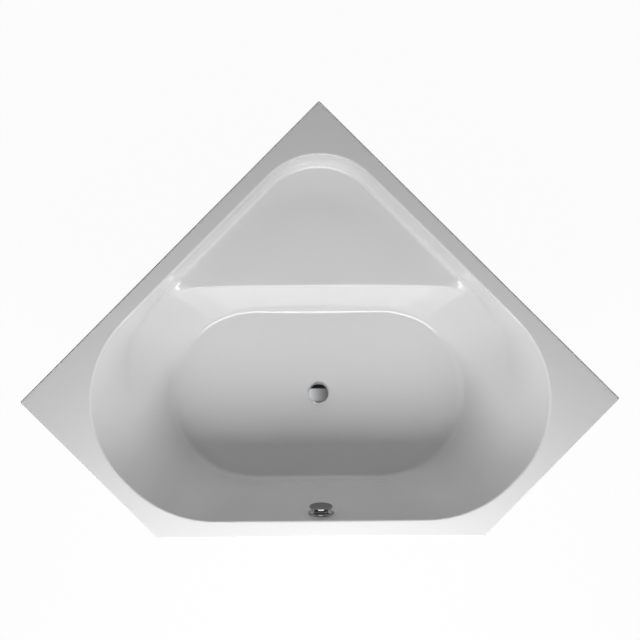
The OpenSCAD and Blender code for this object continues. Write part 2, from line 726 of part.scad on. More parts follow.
module overflow_elbow() {
    color("whitesmoke") at_overflow() difference() {
        union() {
            translate([0, 0, cup_z - 4]) cylinder(r = ring_r - 2, h = 4);
            translate([0, 0, cup_back]) cylinder(r = cup_r, h = cup_d);
            translate([0, 0, hose_depth]) rotate([-90, 0, 0]) cylinder(r = hose_r, h = cup_r + spigot_len);
            translate([0, 0, hose_depth]) rotate([0, 90, 0]) cylinder(r = cable_r + 2, h = cup_r + 12);
        }
        difference() {
            translate([0, 0, cup_back + waste_t]) cylinder(r = cup_r - waste_t, h = cup_d);
            for (x = [-1, 1]) translate([x * ring_screw_x, 0, cup_back])
                cylinder(r = 2 * screw_r, h = cup_z - 8 - cup_back);
        }
        for (x = [-1, 1]) translate([x * ring_screw_x, 0, ring_screw_z - ring_screw_len - past])
            cylinder(r = screw_r + run_gap / 2, h = ring_screw_len);
        translate([0, 0, hose_depth]) rotate([-90, 0, 0]) cylinder(r = hose_bore, h = cup_r + spigot_len + past);
        translate([0, 0, hose_depth]) rotate([0, 90, 0]) cylinder(r = cable_r / 2, h = cup_r + 12 + past);
    }
}

// Number of bars that carry the knob's cap on its hub, and their thickness
knob_bars = 6;
bar_t = 4;
// Angle that the knob turns
knob_swing = 90;
// The underside of the knob's hub, in front of the ring
bar_z = ring_h + 1;

module overflow_knob() {
    cap_z = knob_front - knob_h;
    hub_r = shaft_r + 5;
    color("silver") at_overflow() union() {
        rotate_extrude() polygon([
            [0, cap_z], [knob_r - 1.5, cap_z], [knob_r, cap_z + 1.5], [knob_r, knob_front - 2],
            [knob_r - 2, knob_front], [0, knob_front]]);
        translate([0, 0, bar_z]) cylinder(r = hub_r, h = cap_z - bar_z);
        for (k = [0:knob_bars - 1]) rotate(90 + k * 360 / knob_bars) rotate([90, 0, 0])
            translate([0, 0, -bar_t / 2]) linear_extrude(bar_t)
                polygon([[hub_r - 1, bar_z + 1], [knob_r - 6, bar_z + 1], [knob_r - 6, bar_z + 3],
                    [knob_r / 2, cap_z], [knob_r / 2, cap_z + 1], [hub_r - 1, cap_z + 1]]);
    }
}

// Shaft with the crank that pulls the cable; the crank swings evenly to both sides, clear of the screw posts
module knob_shaft() {
    tail_z = cup_back + waste_t + 2;
    color("khaki") at_overflow() union() {
        translate([0, 0, tail_z]) cylinder(r = shaft_r, h = bar_z - tail_z);
        rotate(-knob_swing / 2) translate([-3, -16, tail_z]) cube([6, 16, 4]);
    }
}

// Points along a path with its inner corners rounded, no more than step apart
function path_points(route, r, step) =
    let(n = len(route),
        turns = [for (i = [0:n - 1]) i == 0 || i == n - 1 ? [route[i], route[i], 0] :
            let(a = unit(route[i - 1] - route[i]), b = unit(route[i + 1] - route[i]), half = acos(a * b) / 2,
                run = r / tan(half)) [route[i] + a * run, route[i] + b * run, half]])
    concat([route[0]], [for (i = [1:n - 1]) each
        let(from = turns[i - 1][1], to = turns[i][0], count = max(1, ceil(norm(to - from) / step)),
            corner = route[i], half = turns[i][2], end = turns[i][1],
            arc_count = half == 0 ? 0 : max(2, ceil(r * (90 - half) * PI / 90 / step)),
            w = sin(half))
        concat([for (k = [1:count]) from + (to - from) * k / count],
            [for (k = [1:arc_count]) let(t = k / arc_count, o = 1 - t, c0 = o * o, c1 = 2 * w * t * o, c2 = t * t)
                (to * c0 + corner * c1 + end * c2) / (c0 + c1 + c2)])]);

// Unit directions along a path, each the mean of its two neighbours
function path_ways(p) = [for (i = [0:len(p) - 1])
    unit(p[min(i + 1, len(p) - 1)] - p[max(i - 1, 0)])];

// Cross directions carried along the path without twist
function carried(ways, side, i, found) = i == len(ways) ? found :
    let(s = unit(side - ways[i] * (side * ways[i]))) carried(ways, s, i + 1, concat(found, [s]));

// A ring of points round each point of a path; radii holds one radius for each ring
function tube_points(p, radii, side, sides) =
    let(ways = path_ways(p), across = carried(ways, side, 0, []))
    [for (i = [0:len(p) - 1], k = [0:sides - 1])
        let(up = cross(ways[i], across[i]), turn = 360 * k / sides)
            p[i] + (across[i] * cos(turn) + up * sin(turn)) * radii[i]];

// Faces between the rings of a tube, from ring 0 to ring n - 1; flip turns them inside out
function tube_faces(n, sides, start, flip) = [
    for (i = [0:n - 2], k = [0:sides - 1]) each
        let(a = start + i * sides + k, b = start + i * sides + (k + 1) % sides, c = b + sides, d = a + sides)
            flip ? [[a, c, b], [a, d, c]] : [[a, b, c], [a, c, d]]];

house_gland_y = pole[1] + lever_y - house_l / 2 - 10;
cable_x = house_x + house_w / 2;
cable_far_x = 100;
cable_z = lever_z;
cable_start = overflow_point([cup_r + 12, 0, hose_depth]);
cable_foot_y = front_y + rim_w + (rim_h - cable_z) * tan(wall_lean) + (hose_depth - 2) / cos(wall_lean);
cable_route = [
    cable_start, [cable_far_x, cable_start[1], cable_start[2]],
    [cable_far_x, cable_foot_y, cable_z], [cable_x, house_gland_y - 90, cable_z],
    [cable_x, house_gland_y, cable_z]];

module bowden_cable() {
    sides = 8;
    p = path_points(cable_route, cable_bend, 5 * cable_r);
    n = len(p);
    color("black") polyhedron(
        points = tube_points(p, [for (q = p) cable_r], [0, 0.3, 1], sides),
        faces = concat([[for (k = [0:sides - 1]) k]], [[for (k = [sides - 1:-1:0]) (n - 1) * sides + k]],
            tube_faces(n, sides, 0, true)));
}

// Depth of the grooves between the hose's ribs
rib_depth = 2.5;
hose_start = overflow_point([0, cup_r + spigot_len, hose_depth]);
hose_corner_y = front_y + rim_w + (rim_h - inlet_z) * tan(wall_lean) + hose_depth / cos(wall_lean);
hose_end = [0, pole[1] - pot_r - spigot_len, inlet_z];
hose_route = [hose_start, [0, hose_corner_y, inlet_z], hose_end];

// Ribbed hose with a plain end at each nut; its outside swells and narrows once for each rib
module overflow_hose() {
    sides = 8;
    p = path_points(hose_route, hose_bend, rib_pitch / 2);
    q = path_points(hose_route, hose_bend, 3 * rib_pitch);
    n = len(p);
    m = len(q);
    plain = ceil(2 * hose_r / (rib_pitch / 2));
    outer = [for (i = [0:n - 1]) i < plain || i > n - 1 - plain || i % 2 == 0 ? hose_r : hose_r - rib_depth];
    start = n * sides;
    far = start + (m - 1) * sides;
    color("lightgray") polyhedron(
        points = concat(tube_points(p, outer, [1, 0, 0], sides),
            tube_points(q, [for (c = q) hose_bore], [1, 0, 0], sides)),
        faces = concat(
            tube_faces(n, sides, 0, true), tube_faces(m, sides, start, false),
            [for (k = [0:sides - 1]) each
                let(b = (k + 1) % sides) [[k, b, start + b], [k, start + b, start + k]]],
            [for (k = [0:sides - 1]) each
                let(a = start - sides + k, b = start - sides + (k + 1) % sides, c = far + (k + 1) % sides, d = far + k)
                    [[a, c, b], [a, d, c]]]),
        convexity = 6);
}

hose_nut_len = 26;

module hose_nut_upper() {
    color("whitesmoke") at_overflow() translate([0, cup_r + spigot_len - 12, hose_depth])
        rotate([-90, 0, 0]) grip_nut(hose_nut_r, hose_r + slip_gap, hose_nut_len, 16);
}

module hose_nut_lower() {
    color("whitesmoke") translate([0, hose_end[1] + 12, inlet_z])
        rotate([90, 0, 0]) grip_nut(hose_nut_r, hose_r + slip_gap, hose_nut_len, 16);
}

// Heights in the trap: its flare under the washer, the low bend and the outlet
flare_t = 3;
flare_z = pot_z - outlet_len - seal_t - flare_t;
lip_t = 3;
nut_wall = 5;
// Length of the nut's thread on the outlet
nut_grip = 16;
trap_low_z = flare_z - trap_leg;
trap_high_z = trap_low_z + trap_rise;

module trap_nut() {
    len = lip_t + flare_t + seal_t + nut_grip;
    color("whitesmoke") at_waste() translate([0, 0, flare_z - lip_t - run_gap]) difference() {
        grip_nut(outlet_r + nut_wall, trap_r + soft_gap, len, 12);
        translate([0, 0, lip_t]) cylinder(r = outlet_r + soft_gap, h = len);
    }
}

module trap_washer() {
    color("dimgray") at_waste() pipe(outlet_r - 1, trap_r - 1, flare_z + flare_t + soft_gap, pot_z - outlet_len);
}

// The trap's pipe with radius r: down, round the low bend, up, and out through the high bend.
// With shut ends the run is the trap's outside; over is how far the bore runs past both ends.
module trap_run(r, over) {
    reach = trap_bend + r;
    translate([0, 0, trap_low_z]) cylinder(r = r, h = flare_z + flare_t - trap_low_z + over);
    translate([trap_bend, 0, trap_low_z]) intersection() {
        bend_ring(r);
        translate([-reach, -r, -reach]) cube([2 * reach, 2 * r, reach]);
    }
    translate([2 * trap_bend, 0, trap_low_z]) cylinder(r = r, h = trap_high_z - trap_low_z);
    translate([3 * trap_bend, 0, trap_high_z]) intersection() {
        bend_ring(r);
        translate([-reach, -r, 0]) cube([reach, 2 * r, reach]);
    }
    translate([3 * trap_bend, 0, trap_high_z + trap_bend]) rotate([0, 90, 0]) cylinder(r = r, h = 12 + over);
}

// A whole ring of pipe that stands upright, from which the bends are cut
module bend_ring(r) {
    rotate([90, 0, 0]) rotate_extrude() translate([trap_bend, 0]) circle(r = r);
}

module trap_body() {
    spigot_x = 3 * trap_bend + 12;
    color("whitesmoke") at_waste() rotate(drain_turn) difference() {
        union() {
            trap_run(trap_r, 0);
            translate([0, 0, flare_z]) cylinder(r = outlet_r - 0.5, h = flare_t);
            translate([spigot_x - 6, 0, trap_high_z + trap_bend]) rotate([0, 90, 0])
                cylinder(r1 = trap_r, r2 = drain_r, h = 6);
            translate([spigot_x, 0, trap_high_z + trap_bend]) rotate([0, 90, 0])
                cylinder(r = drain_r, h = drain_len);
        }
        trap_run(trap_r - 1.5, past);
        translate([spigot_x, 0, trap_high_z + trap_bend]) rotate([0, 90, 0])
            cylinder(r = drain_r - 2, h = drain_len + past);
    }
}

tub_shell();
rim_batten_side_right();
rim_batten_back_right();
rim_batten_back_left();
rim_batten_side_left();
rim_batten_front();
base_board();
seat_board();
rail_left();
rail_right();
rail_screws();
seat_post();
seat_post_screws();
foot_nuts();
foot_locknuts();
foot_spindle_front_left();
foot_spindle_front_right();
foot_spindle_back_left();
foot_spindle_back_right();
foot_spindle_seat();
foot_pad_front_left();
foot_pad_front_right();
foot_pad_back_left();
foot_pad_back_right();
foot_pad_seat();
waste_flange();
waste_seal_upper();
waste_seal_lower();
waste_body();
lever_cover();
plug_cap();
plug_stem();
plug_seal();
lift_lever();
overflow_ring();
overflow_screws();
overflow_gasket();
overflow_elbow();
overflow_knob();
knob_shaft();
bowden_cable();
overflow_hose();
hose_nut_upper();
hose_nut_lower();
trap_nut();
trap_washer();
trap_body();
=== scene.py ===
import bpy
import numpy as np
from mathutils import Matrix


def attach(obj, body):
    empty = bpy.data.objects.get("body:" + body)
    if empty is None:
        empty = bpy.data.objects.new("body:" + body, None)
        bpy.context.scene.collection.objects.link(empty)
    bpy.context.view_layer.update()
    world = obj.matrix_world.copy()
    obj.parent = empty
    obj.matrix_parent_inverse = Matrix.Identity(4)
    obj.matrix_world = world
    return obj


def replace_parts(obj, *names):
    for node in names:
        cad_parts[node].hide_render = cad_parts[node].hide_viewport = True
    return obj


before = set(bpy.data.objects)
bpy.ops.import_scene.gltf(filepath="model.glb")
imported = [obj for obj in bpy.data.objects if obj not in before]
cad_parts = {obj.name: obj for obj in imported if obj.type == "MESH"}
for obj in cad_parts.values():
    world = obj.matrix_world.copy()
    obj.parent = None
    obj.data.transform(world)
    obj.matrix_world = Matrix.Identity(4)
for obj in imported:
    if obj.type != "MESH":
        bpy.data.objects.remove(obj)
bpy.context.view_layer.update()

# Tub shell: one sheet of cast acrylic, drawn down hot into the pentagonal well with its seat shelf,
# trimmed round the turned-down rim, and stiffened behind with sprayed resin and chopped glass strands.

back_len, short_len, corner_r = 1.400, 0.640, 0.005
rim_h, rim_w, skirt_h, edge_r, lip_r = 0.590, 0.057, 0.040, 0.004, 0.009
well_d, floor_r, floor_fall = 0.440, 0.034, 0.006
oval_half_len, oval_front, oval_back = 0.512, 0.298, 0.306
seat_d, seat_reach, seat_curl, seat_draft = 0.220, 0.607, 0.012, 0.013
nose_r, seat_back_r, fade_depth, fade_r, lean_deg = 0.007, 0.018, 0.060, 0.180, 40
nose_drop, sink_drop, sink_deg = 0.10, 0.25, 20
front_lip_r, side_lip_r, apex_lip_r, skirt_inside_r = 0.398, 0.365, 0.240, 0.001
waste_back, waste_hole_r, hole_trim, patch_r = 0.007, 0.026, 0.001, 0.060
overflow_below, overflow_hole_r = 0.075, 0.026
shell_t = 0.005
root2 = 2 ** 0.5
tip_depth = (back_len + short_len) / root2
apex_y = (tip_depth + corner_r * (root2 - 1)) / 2
front_y = apex_y - tip_depth
side_x = back_len / root2
side_y = apex_y - side_x
front_x = (back_len - short_len) / root2
outline = np.array([
    [front_x, front_y], [side_x, side_y], [0, apex_y], [-side_x, side_y], [-front_x, front_y]])
# The waste's middle, from which every section of the shell runs outwards
pole = np.array([0, side_y + waste_back])
floor_z = rim_h - well_d
low_z = floor_z - floor_fall
under_z = low_z - shell_t
seat_z = rim_h - seat_d
seat_front_y = apex_y - seat_reach
seat_end_x = apex_y - (rim_w + seat_draft) * root2 - seat_front_y
seat_end_ray = np.arctan2(seat_front_y - pole[1], seat_end_x)


def unit(v):
    """v divided by its length, along the last axis."""
    return v / np.linalg.norm(v, axis=-1, keepdims=True)


def left_of(v):
    """v turned a quarter turn to the left in its plane."""
    return np.stack([-v[..., 1], v[..., 0]], -1)


def cross2(a, b):
    """The cross product of plane vectors: positive where b lies to the left of a."""
    return a[..., 0] * b[..., 1] - a[..., 1] * b[..., 0]


def ease(x):
    """Rises from 0 to 1 as 3k^2 - 2k^3 while k = x goes from 0 to 1, and stays level outside."""
    k = np.clip(x, 0, 1)
    return k * k * (3 - 2 * k)


def inset(poly, d):
    """The polygon with every side moved inwards by d: each corner moves along its two sides' normals."""
    a = left_of(unit(poly - np.roll(poly, 1, 0)))
    b = left_of(unit(np.roll(poly, -1, 0) - poly))
    return poly + (a + b) * d / (1 + (a * b).sum(1, keepdims=True))


def arcs(poly, radii):
    """Each corner's arc as its start, end, centre and radius. It runs r / tan(half angle) down both sides."""
    a = unit(np.roll(poly, 1, 0) - poly)
    b = unit(np.roll(poly, -1, 0) - poly)
    half = np.arccos((a * b).sum(1, keepdims=True)) / 2
    r = np.broadcast_to(radii, len(poly))[:, None]
    centre = poly + unit(a + b) * r / np.sin(half)
    return poly + a * r / np.tan(half), poly + b * r / np.tan(half), centre, r[:, 0]


def reach(rounded, u):
    """Distance from the pole to a rounded polygon along each direction u. On an arc it is
    k + sqrt(k^2 - m^2 + r^2), where m is the centre and k = m . u; on a side s from b it is b x s / u x s."""
    start, end, centre, r = rounded
    found = np.zeros(len(u))
    for i in range(len(start)):
        a, b, m = start[i] - pole, end[i] - pole, centre[i] - pole
        c = np.roll(start, -1, 0)[i] - pole
        k = u @ m
        on_arc = (cross2(a, u) >= -1e-6) & (cross2(u, b) > 0) & (k > 0)
        on_side = (cross2(b, u) >= -1e-6) & (cross2(u, c) > 0) & (u @ (b + c) > 0)
        arc_at = k + np.sqrt(np.maximum(0, k * k - m @ m + r[i] ** 2))
        found = np.where((found == 0) & on_arc, arc_at, found)
        across = cross2(u, c - b)
        side_at = cross2(b, c - b) / np.where(across == 0, 1, across)
        found = np.where((found == 0) & on_side, side_at, found)
    return found


outer_edge = arcs(outline, corner_r)
skirt_inside = arcs(inset(outline, shell_t), skirt_inside_r)
lip_radii = np.array([front_lip_r, side_lip_r, apex_lip_r, side_lip_r, front_lip_r])
lip_edge = arcs(inset(outline, rim_w), lip_radii)
seat_edge = arcs(inset(outline, rim_w + seat_draft), lip_radii - seat_draft)
# The oval's ends are half circles, a hair smaller than its width allows, so that each side keeps a length
end_r = (oval_front + oval_back) / 2 - 1e-5
oval_edge = arcs(np.array([
    [oval_half_len, side_y - oval_front], [oval_half_len, side_y + oval_back],
    [-oval_half_len, side_y + oval_back], [-oval_half_len, side_y - oval_front]]), end_r)


def ray_to(p):
    """Direction of a plan point as seen from the pole, in radians."""
    return np.arctan2(p[1] - pole[1], p[0] - pole[0])


def arc_rays(i):
    """Directions of the start, middle and end of the outline's round corner i."""
    start, end, centre, r = (part[i] for part in outer_edge)
    return [ray_to(start), ray_to(centre + unit(start + end - 2 * centre) * r), ray_to(end)]


ray_keys = [-np.pi / 2, *arc_rays(0), *arc_rays(1), seat_end_ray, ray_to(outer_edge[0][2]), np.pi / 2]
ray_steps = [58, 3, 3, 52, 3, 3, 44, 66, 4]
right_rays = np.concatenate([
    np.linspace(a, b, n, endpoint=False) for a, b, n in zip(ray_keys, ray_keys[1:], ray_steps)])
rays = np.concatenate([right_rays, [np.pi / 2], np.pi - right_rays[:0:-1]])


def level(at, z):
    """One point on every ray: at metres from the pole and z metres high."""
    flat = np.ones(len(rays))
    return np.stack([flat * at, flat * z], -1)


def section():
    """Corner points of the shell's upright section along each ray, as (distance from the pole, height), the
    radius of the bend behind the seat, and the distance of the skirt's inside. The wall's foot blends from
    under the seat's edge to a leaning backrest."""
    u = np.stack([np.cos(rays), np.sin(rays)], -1)
    rise = np.arcsin(u[:, 1])
    floor_at, lip_at, out_at = reach(oval_edge, u), reach(lip_edge, u), reach(outer_edge, u)
    lean = ease((seat_end_ray - rise) / np.radians(lean_deg))
    leaning_at = floor_at + (lip_at - floor_at) * (well_d - seat_d) / well_d
    wall_at = reach(seat_edge, u) * (1 - lean) + leaning_at * lean
    # Where each ray meets the seat's front line; 0.1 keeps rays that never do from dividing by nothing
    line_at = (seat_front_y - pole[1]) / np.maximum(0.1, u[:, 1])
    across = np.minimum(1, np.abs(line_at * u[:, 0]) / seat_end_x)
    front_at = line_at * (1 - seat_curl / (seat_front_y - pole[1]) * across ** 4)
    shelf = np.maximum(0, wall_at - front_at)
    fade = ease(1 - shelf / fade_depth)
    drop = (nose_drop + sink_drop * ease((seat_end_ray - rise) / np.radians(sink_deg))) * fade
    foot, wall = level(floor_at, floor_z), level(wall_at, seat_z)
    nose = level(wall_at - shelf, seat_z) + (foot - wall) * drop[:, None]
    corners = [level(patch_r, low_z), foot, nose, wall, level(lip_at, rim_h), level(out_at, rim_h),
               level(out_at, rim_h - skirt_h)]
    return corners, seat_back_r + fade_r * fade, reach(skirt_inside, u)


def bend(s, i, r, n):
    """Rational arc of radius r round corner i of every section, with its normals, at n + 1 stations.
    With run = r / tan(half) down both sides, kept between least_run and a share of the shorter side, and
    w = sin(half), it is the conic
    ((1-t)^2 start + 2 w t (1-t) p + t^2 end) / ((1-t)^2 + 2 w t (1-t) + t^2)."""
    least_run, side_share = 0.006, 0.48
    p, a, b = s[i], s[i - 1] - s[i], s[i + 1] - s[i]
    half = np.arccos(np.clip((unit(a) * unit(b)).sum(-1), -1, 1)) / 2
    most_run = np.minimum(np.linalg.norm(a, axis=-1), np.linalg.norm(b, axis=-1)) * side_share
    run = np.minimum(np.maximum(r / np.tan(half), least_run), most_run)[:, None]
    w, start, end = np.sin(half)[:, None], p + unit(a) * run, p + unit(b) * run
    t = np.linspace(0, 1, n + 1)[:, None, None]
    o = 1 - t
    points = (start * o * o + p * 2 * w * t * o + end * t * t) / (o * o + 2 * w * t * o + t * t)
    ahead = unit((p - start) * w * o * o + (end - start) * t * o + (end - p) * w * t * t)
    return points, left_of(ahead)


def between(a, b, n):
    """n stations between two rows of points, closer together near both ends: station k lies at the share
    (1 - cos(pi k / (n + 1))) / 2 of the way."""
    t = (1 - np.cos(np.pi * np.arange(1, n + 1) / (n + 1)))[:, None, None] / 2
    return a + (b - a) * t


s, back_r, in_at = section()
foot, nose, wall = bend(s, 1, floor_r, 14), bend(s, 2, nose_r, 10), bend(s, 3, back_r, 14)
lip, edge = bend(s, 4, lip_r, 12), bend(s, 5, edge_r, 8)
# The wet face runs from the waste's hole up to the skirt's edge, and the dry face back down behind it
wet = [level(waste_hole_r, low_z)[None], level(waste_hole_r + hole_trim, low_z)[None], s[0][None],
       between(s[0], foot[0][0], 7), foot[0], between(foot[0][-1], nose[0][0], 9), nose[0],
       between(nose[0][-1], wall[0][0], 7), wall[0], between(wall[0][-1], lip[0][0], 7), lip[0],
       between(lip[0][-1], edge[0][0], 5), edge[0], between(edge[0][-1], s[6], 3), s[6][None]]
wet_rows = sum(len(part) for part in wet)
skirt_foot, skirt_top = level(in_at, rim_h - skirt_h), level(in_at, rim_h - shell_t)
dry = [skirt_foot[None], between(skirt_foot, skirt_top, 3), skirt_top[None]]
last = skirt_top
for points, normals in (lip, wall, nose, foot):
    inner = (points - normals * shell_t)[::-2]
    dry += [between(last, inner[0], 4), inner]
    last = inner[-1]
dry[-1] = dry[-1][:-1]
dry += [level(at, under_z)[None] for at in (foot[0][0][:, 0], patch_r, waste_hole_r)]
rows = np.concatenate(wet + dry)
away, z = rows[..., 0], rows[..., 1]
xyz = np.stack([pole[0] + away * np.cos(rays), pole[1] + away * np.sin(rays), z], -1)


def grid_faces(m, n, close_m, close_n):
    """Four-cornered faces of an m by n grid of points; a closed direction's last row joins its first."""
    i, j = np.meshgrid(np.arange(m - (not close_m)), np.arange(n - (not close_n)), indexing="ij")
    k, l = (i + 1) % m, (j + 1) % n
    return np.stack([i * n + j, k * n + j, k * n + l, i * n + l], -1).reshape(-1, 4)


def piece(name, parts, sharp=40):
    """One mesh object from (points, faces) pairs, at the origin, smooth except across edges over sharp
    degrees. The faces of a pair are turned round where its signed volume is negative, so that they face
    outwards."""
    points = np.concatenate([np.asarray(p, float).reshape(-1, 3) for p, f in parts])
    starts = np.cumsum([0] + [np.asarray(p).size // 3 for p, f in parts])
    faces = []
    for (p, f), start in zip(parts, starts):
        p, f = np.asarray(p, float).reshape(-1, 3), np.asarray(f)
        a, b, c, d = (p[f[:, k]] for k in (0, 1, 2, -1))
        volume = (np.cross(a, b) * c).sum() + (np.cross(a, c) * d).sum()
        faces.append((f[:, ::-1] if volume < 0 else f) + start)
    mesh = bpy.data.meshes.new(name)
    mesh.from_pydata(points.tolist(), [], [row.tolist() for f in faces for row in f])
    mesh.shade_smooth()
    mesh.set_sharp_from_angle(angle=np.radians(sharp))
    made = bpy.data.objects.new(name, mesh)
    bpy.context.scene.collection.objects.link(made)
    return made


shell = piece("acrylic_shell", [(xyz, grid_faces(len(rows), len(rays), True, True))])
row_of_face = np.repeat(np.arange(len(rows)), len(rays))
behind = (row_of_face >= wet_rows) & (row_of_face < len(rows) - 1)
shell.data.polygons.foreach_set("material_index", behind.astype("i4"))


class Value:
    """A socket in a finish. + - * and ** on it, with a number or another Value, add Math nodes."""

    def __init__(self, finish, socket):
        self.finish, self.socket = finish, socket

    def __add__(self, other): return self.finish.math("ADD", self, other)
    def __radd__(self, other): return self.finish.math("ADD", other, self)
    def __sub__(self, other): return self.finish.math("SUBTRACT", self, other)
    def __rsub__(self, other): return self.finish.math("SUBTRACT", other, self)
    def __mul__(self, other): return self.finish.math("MULTIPLY", self, other)
    def __rmul__(self, other): return self.finish.math("MULTIPLY", other, self)
    def __pow__(self, other): return self.finish.math("POWER", self, other)


class Finish:
    """One procedural material. node() adds any node; the other methods are short names for common ones."""

    def __init__(self, name, holder=None):
        self.material = holder or bpy.data.materials.new(name)
        self.material.use_nodes = True
        self.tree = self.material.node_tree
        self.tree.nodes.clear()
        self.place = self.node("ShaderNodeTexCoord", out="Object")

    def node(self, kind, settings={}, sockets={}, out=None):
        made = self.tree.nodes.new(kind)
        for key, value in settings.items():
            if key == "stops":
                for spare in range(len(value) - 2):
                    made.color_ramp.elements.new(0.5)
                for stop, (at, shade) in zip(made.color_ramp.elements, value):
                    stop.position, stop.color = at, (*np.broadcast_to(shade, 3), 1)
            else:
                setattr(made, key, value)
        for key, value in sockets.items():
            if isinstance(value, Value):
                self.tree.links.new(value.socket, made.inputs[key])
            else:
                made.inputs[key].default_value = value
        return Value(self, made.outputs[out or 0]) if made.outputs else None

    def math(self, operation, a, b):
        return self.node("ShaderNodeMath", {"operation": operation}, {0: a, 1: b})

    def noise(self, scale, detail=3, where=None, rough=0.5, warp=0):
        return self.node("ShaderNodeTexNoise", {}, {
            "Vector": where or self.place, "Scale": scale, "Detail": detail, "Roughness": rough,
            "Distortion": warp}, "Fac")

    def stretched(self, scale, turn=(0, 0, 0)):
        return self.node("ShaderNodeMapping", {}, {"Vector": self.place, "Scale": scale, "Rotation": turn})

    def between(self, value, low, high):
        """0 to 1 as value goes from low to high, held level outside."""
        return self.node("ShaderNodeMapRange", {}, {"Value": value, "From Min": low, "From Max": high})

    def mix(self, amount, a, b):
        """Colour a where amount is 0 and colour b where it is 1."""
        a, b = (c if isinstance(c, Value) else (*np.broadcast_to(c, 3), 1) for c in (a, b))
        return self.node("ShaderNodeMix", {"data_type": "RGBA"}, {0: amount, 6: a, 7: b}, 2)

    def bump(self, height, depth):
        return self.node("ShaderNodeBump", {}, {"Height": height, "Distance": depth, "Strength": 1})

    def surface(self, colour, roughness, normal, **constants):
        """Ends the material in one Principled shader; constants are set on its own sockets."""
        shader = self.node("ShaderNodeBsdfPrincipled", {}, {
            "Base Color": colour, "Roughness": roughness, "Normal": normal, **constants})
        self.node("ShaderNodeOutputMaterial", {}, {"Surface": shader})
        return self.material


acrylic = Finish("white_acrylic")
ripple = acrylic.noise(14, 2)
polish = acrylic.noise(900, 2)
hair = acrylic.noise(60, 5, acrylic.stretched((1, 14, 14), (0, 0, 0.7)))
acrylic = acrylic.surface(
    acrylic.mix(acrylic.noise(3, 2), 0.74, 0.76),
    0.09 + 0.05 * acrylic.between(hair, 0.45, 0.7) + 0.03 * ripple,
    acrylic.bump(ripple * 0.6 + polish * 0.02, 0.0012), IOR=1.49)

backing = Finish("glass_fibre_backing")
ways = [backing.stretched((1, 16, 16), (0.2 * k, 0.3 * k, 0.62 * k)) for k in range(4)]
strands = [backing.between(backing.noise(55, 1, way), 0.60, 0.66) for way in ways]
mat = sum(strands[1:], strands[0])
resin = backing.noise(9, 4)
resin_colour = backing.mix(resin, (0.60, 0.58, 0.50), (0.69, 0.67, 0.60))
backing = backing.surface(
    backing.mix(backing.between(mat, 0, 1.5), resin_colour, (0.80, 0.79, 0.74)),
    0.38 + 0.25 * resin, backing.bump(mat * 0.5 + backing.noise(120, 3), 0.0008), IOR=1.52)

shell.data.materials.append(acrylic)
shell.data.materials.append(backing)

overflow_lean = np.arctan2(side_y - oval_front - front_y - rim_w, well_d)
overflow_y = front_y + rim_w + overflow_below * np.tan(overflow_lean)
overflow_at = np.array([0, overflow_y, rim_h - overflow_below])
overflow_down = np.array([0, np.sin(overflow_lean), -np.cos(overflow_lean)])
overflow_out = np.array([0, np.cos(overflow_lean), np.sin(overflow_lean)])


def at_overflow(points):
    """Points given as (across, down the wall, out of the wall) from the middle of the overflow hole."""
    points = np.asarray(points, float)
    return (overflow_at + points[..., :1] * [1, 0, 0] + points[..., 1:2] * overflow_down
            + points[..., 2:3] * overflow_out)


def turned(profile, n):
    """A surface of revolution about Z: each (radius, height) point of the profile at n angles, as points
    (radius cos a, radius sin a, height) in the order (profile, angle). A radius of 0 is a pole."""
    profile = np.asarray(profile, float)
    angle = np.linspace(0, 2 * np.pi, n, endpoint=False)
    r, z = profile[:, :1], profile[:, 1:]
    return np.stack([r * np.cos(angle), r * np.sin(angle), z + 0 * angle], -1)


drill_half, drill_sides = 0.02, 72
drill = turned([[0, -drill_half], [overflow_hole_r, -drill_half],
                [overflow_hole_r, drill_half], [0, drill_half]], drill_sides)
drill = piece("drill", [(at_overflow(drill), grid_faces(len(drill), drill_sides, False, True))])
cut = shell.modifiers.new("overflow_hole", "BOOLEAN")
cut.operation, cut.solver, cut.object = "DIFFERENCE", "EXACT", drill
cut_shell = bpy.data.meshes.new_from_object(shell.evaluated_get(bpy.context.evaluated_depsgraph_get()))
shell.modifiers.clear()
shell.data = cut_shell
bpy.data.objects.remove(drill)
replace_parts(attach(shell, "tub"), "tub_shell")

# Rim battens, base board and seat board: chipboard pieces laid on the back of the sheet before the resin
# sets. They stiffen the rim, spread a bather's weight and give the screws something to bite.


def dress(material, *names):
    """Puts a finish on the material slots of the CAD pieces named."""
    for name in names:
        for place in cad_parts[name].material_slots:
            place.material = material


board = Finish("resin_coated_chipboard")
chips = board.node("ShaderNodeTexVoronoi", {"feature": "F1"}, {
    "Vector": board.stretched((1, 1.7, 3.5), (0.1, 0.2, 0.5)), "Scale": 190}, "Color")
crumbs = board.node("ShaderNodeTexVoronoi", {"feature": "F1"}, {
    "Vector": board.stretched((2.2, 1, 3), (0.3, 0.1, 1.1)), "Scale": 260}, "Distance")
shade = board.node("ShaderNodeSeparateColor", {}, {0: chips}, "Red")
chip_colour = board.node("ShaderNodeValToRGB", {"stops": [
    (0.0, (0.30, 0.19, 0.09)), (0.25, (0.46, 0.31, 0.16)),
    (0.6, (0.60, 0.43, 0.24)), (1.0, (0.74, 0.58, 0.37))]}, {0: shade})
glaze = board.between(board.noise(7, 3), 0.42, 0.62)
board = board.surface(
    board.mix(board.between(crumbs, 0.25, 0.7) * 0.4, chip_colour, (0.26, 0.17, 0.09)),
    0.72 - 0.38 * glaze, board.bump(shade * 0.4 + crumbs, 0.0006))
dress(board, "rim_batten_side_right", "rim_batten_back_right", "rim_batten_back_left",
      "rim_batten_side_left", "rim_batten_front", "base_board", "seat_board")

# Rails and seat post: folded and welded sheet steel, dipped in molten zinc, which sets in flat
# crystals, each with its own sheen. The rails are screwed under the base board.

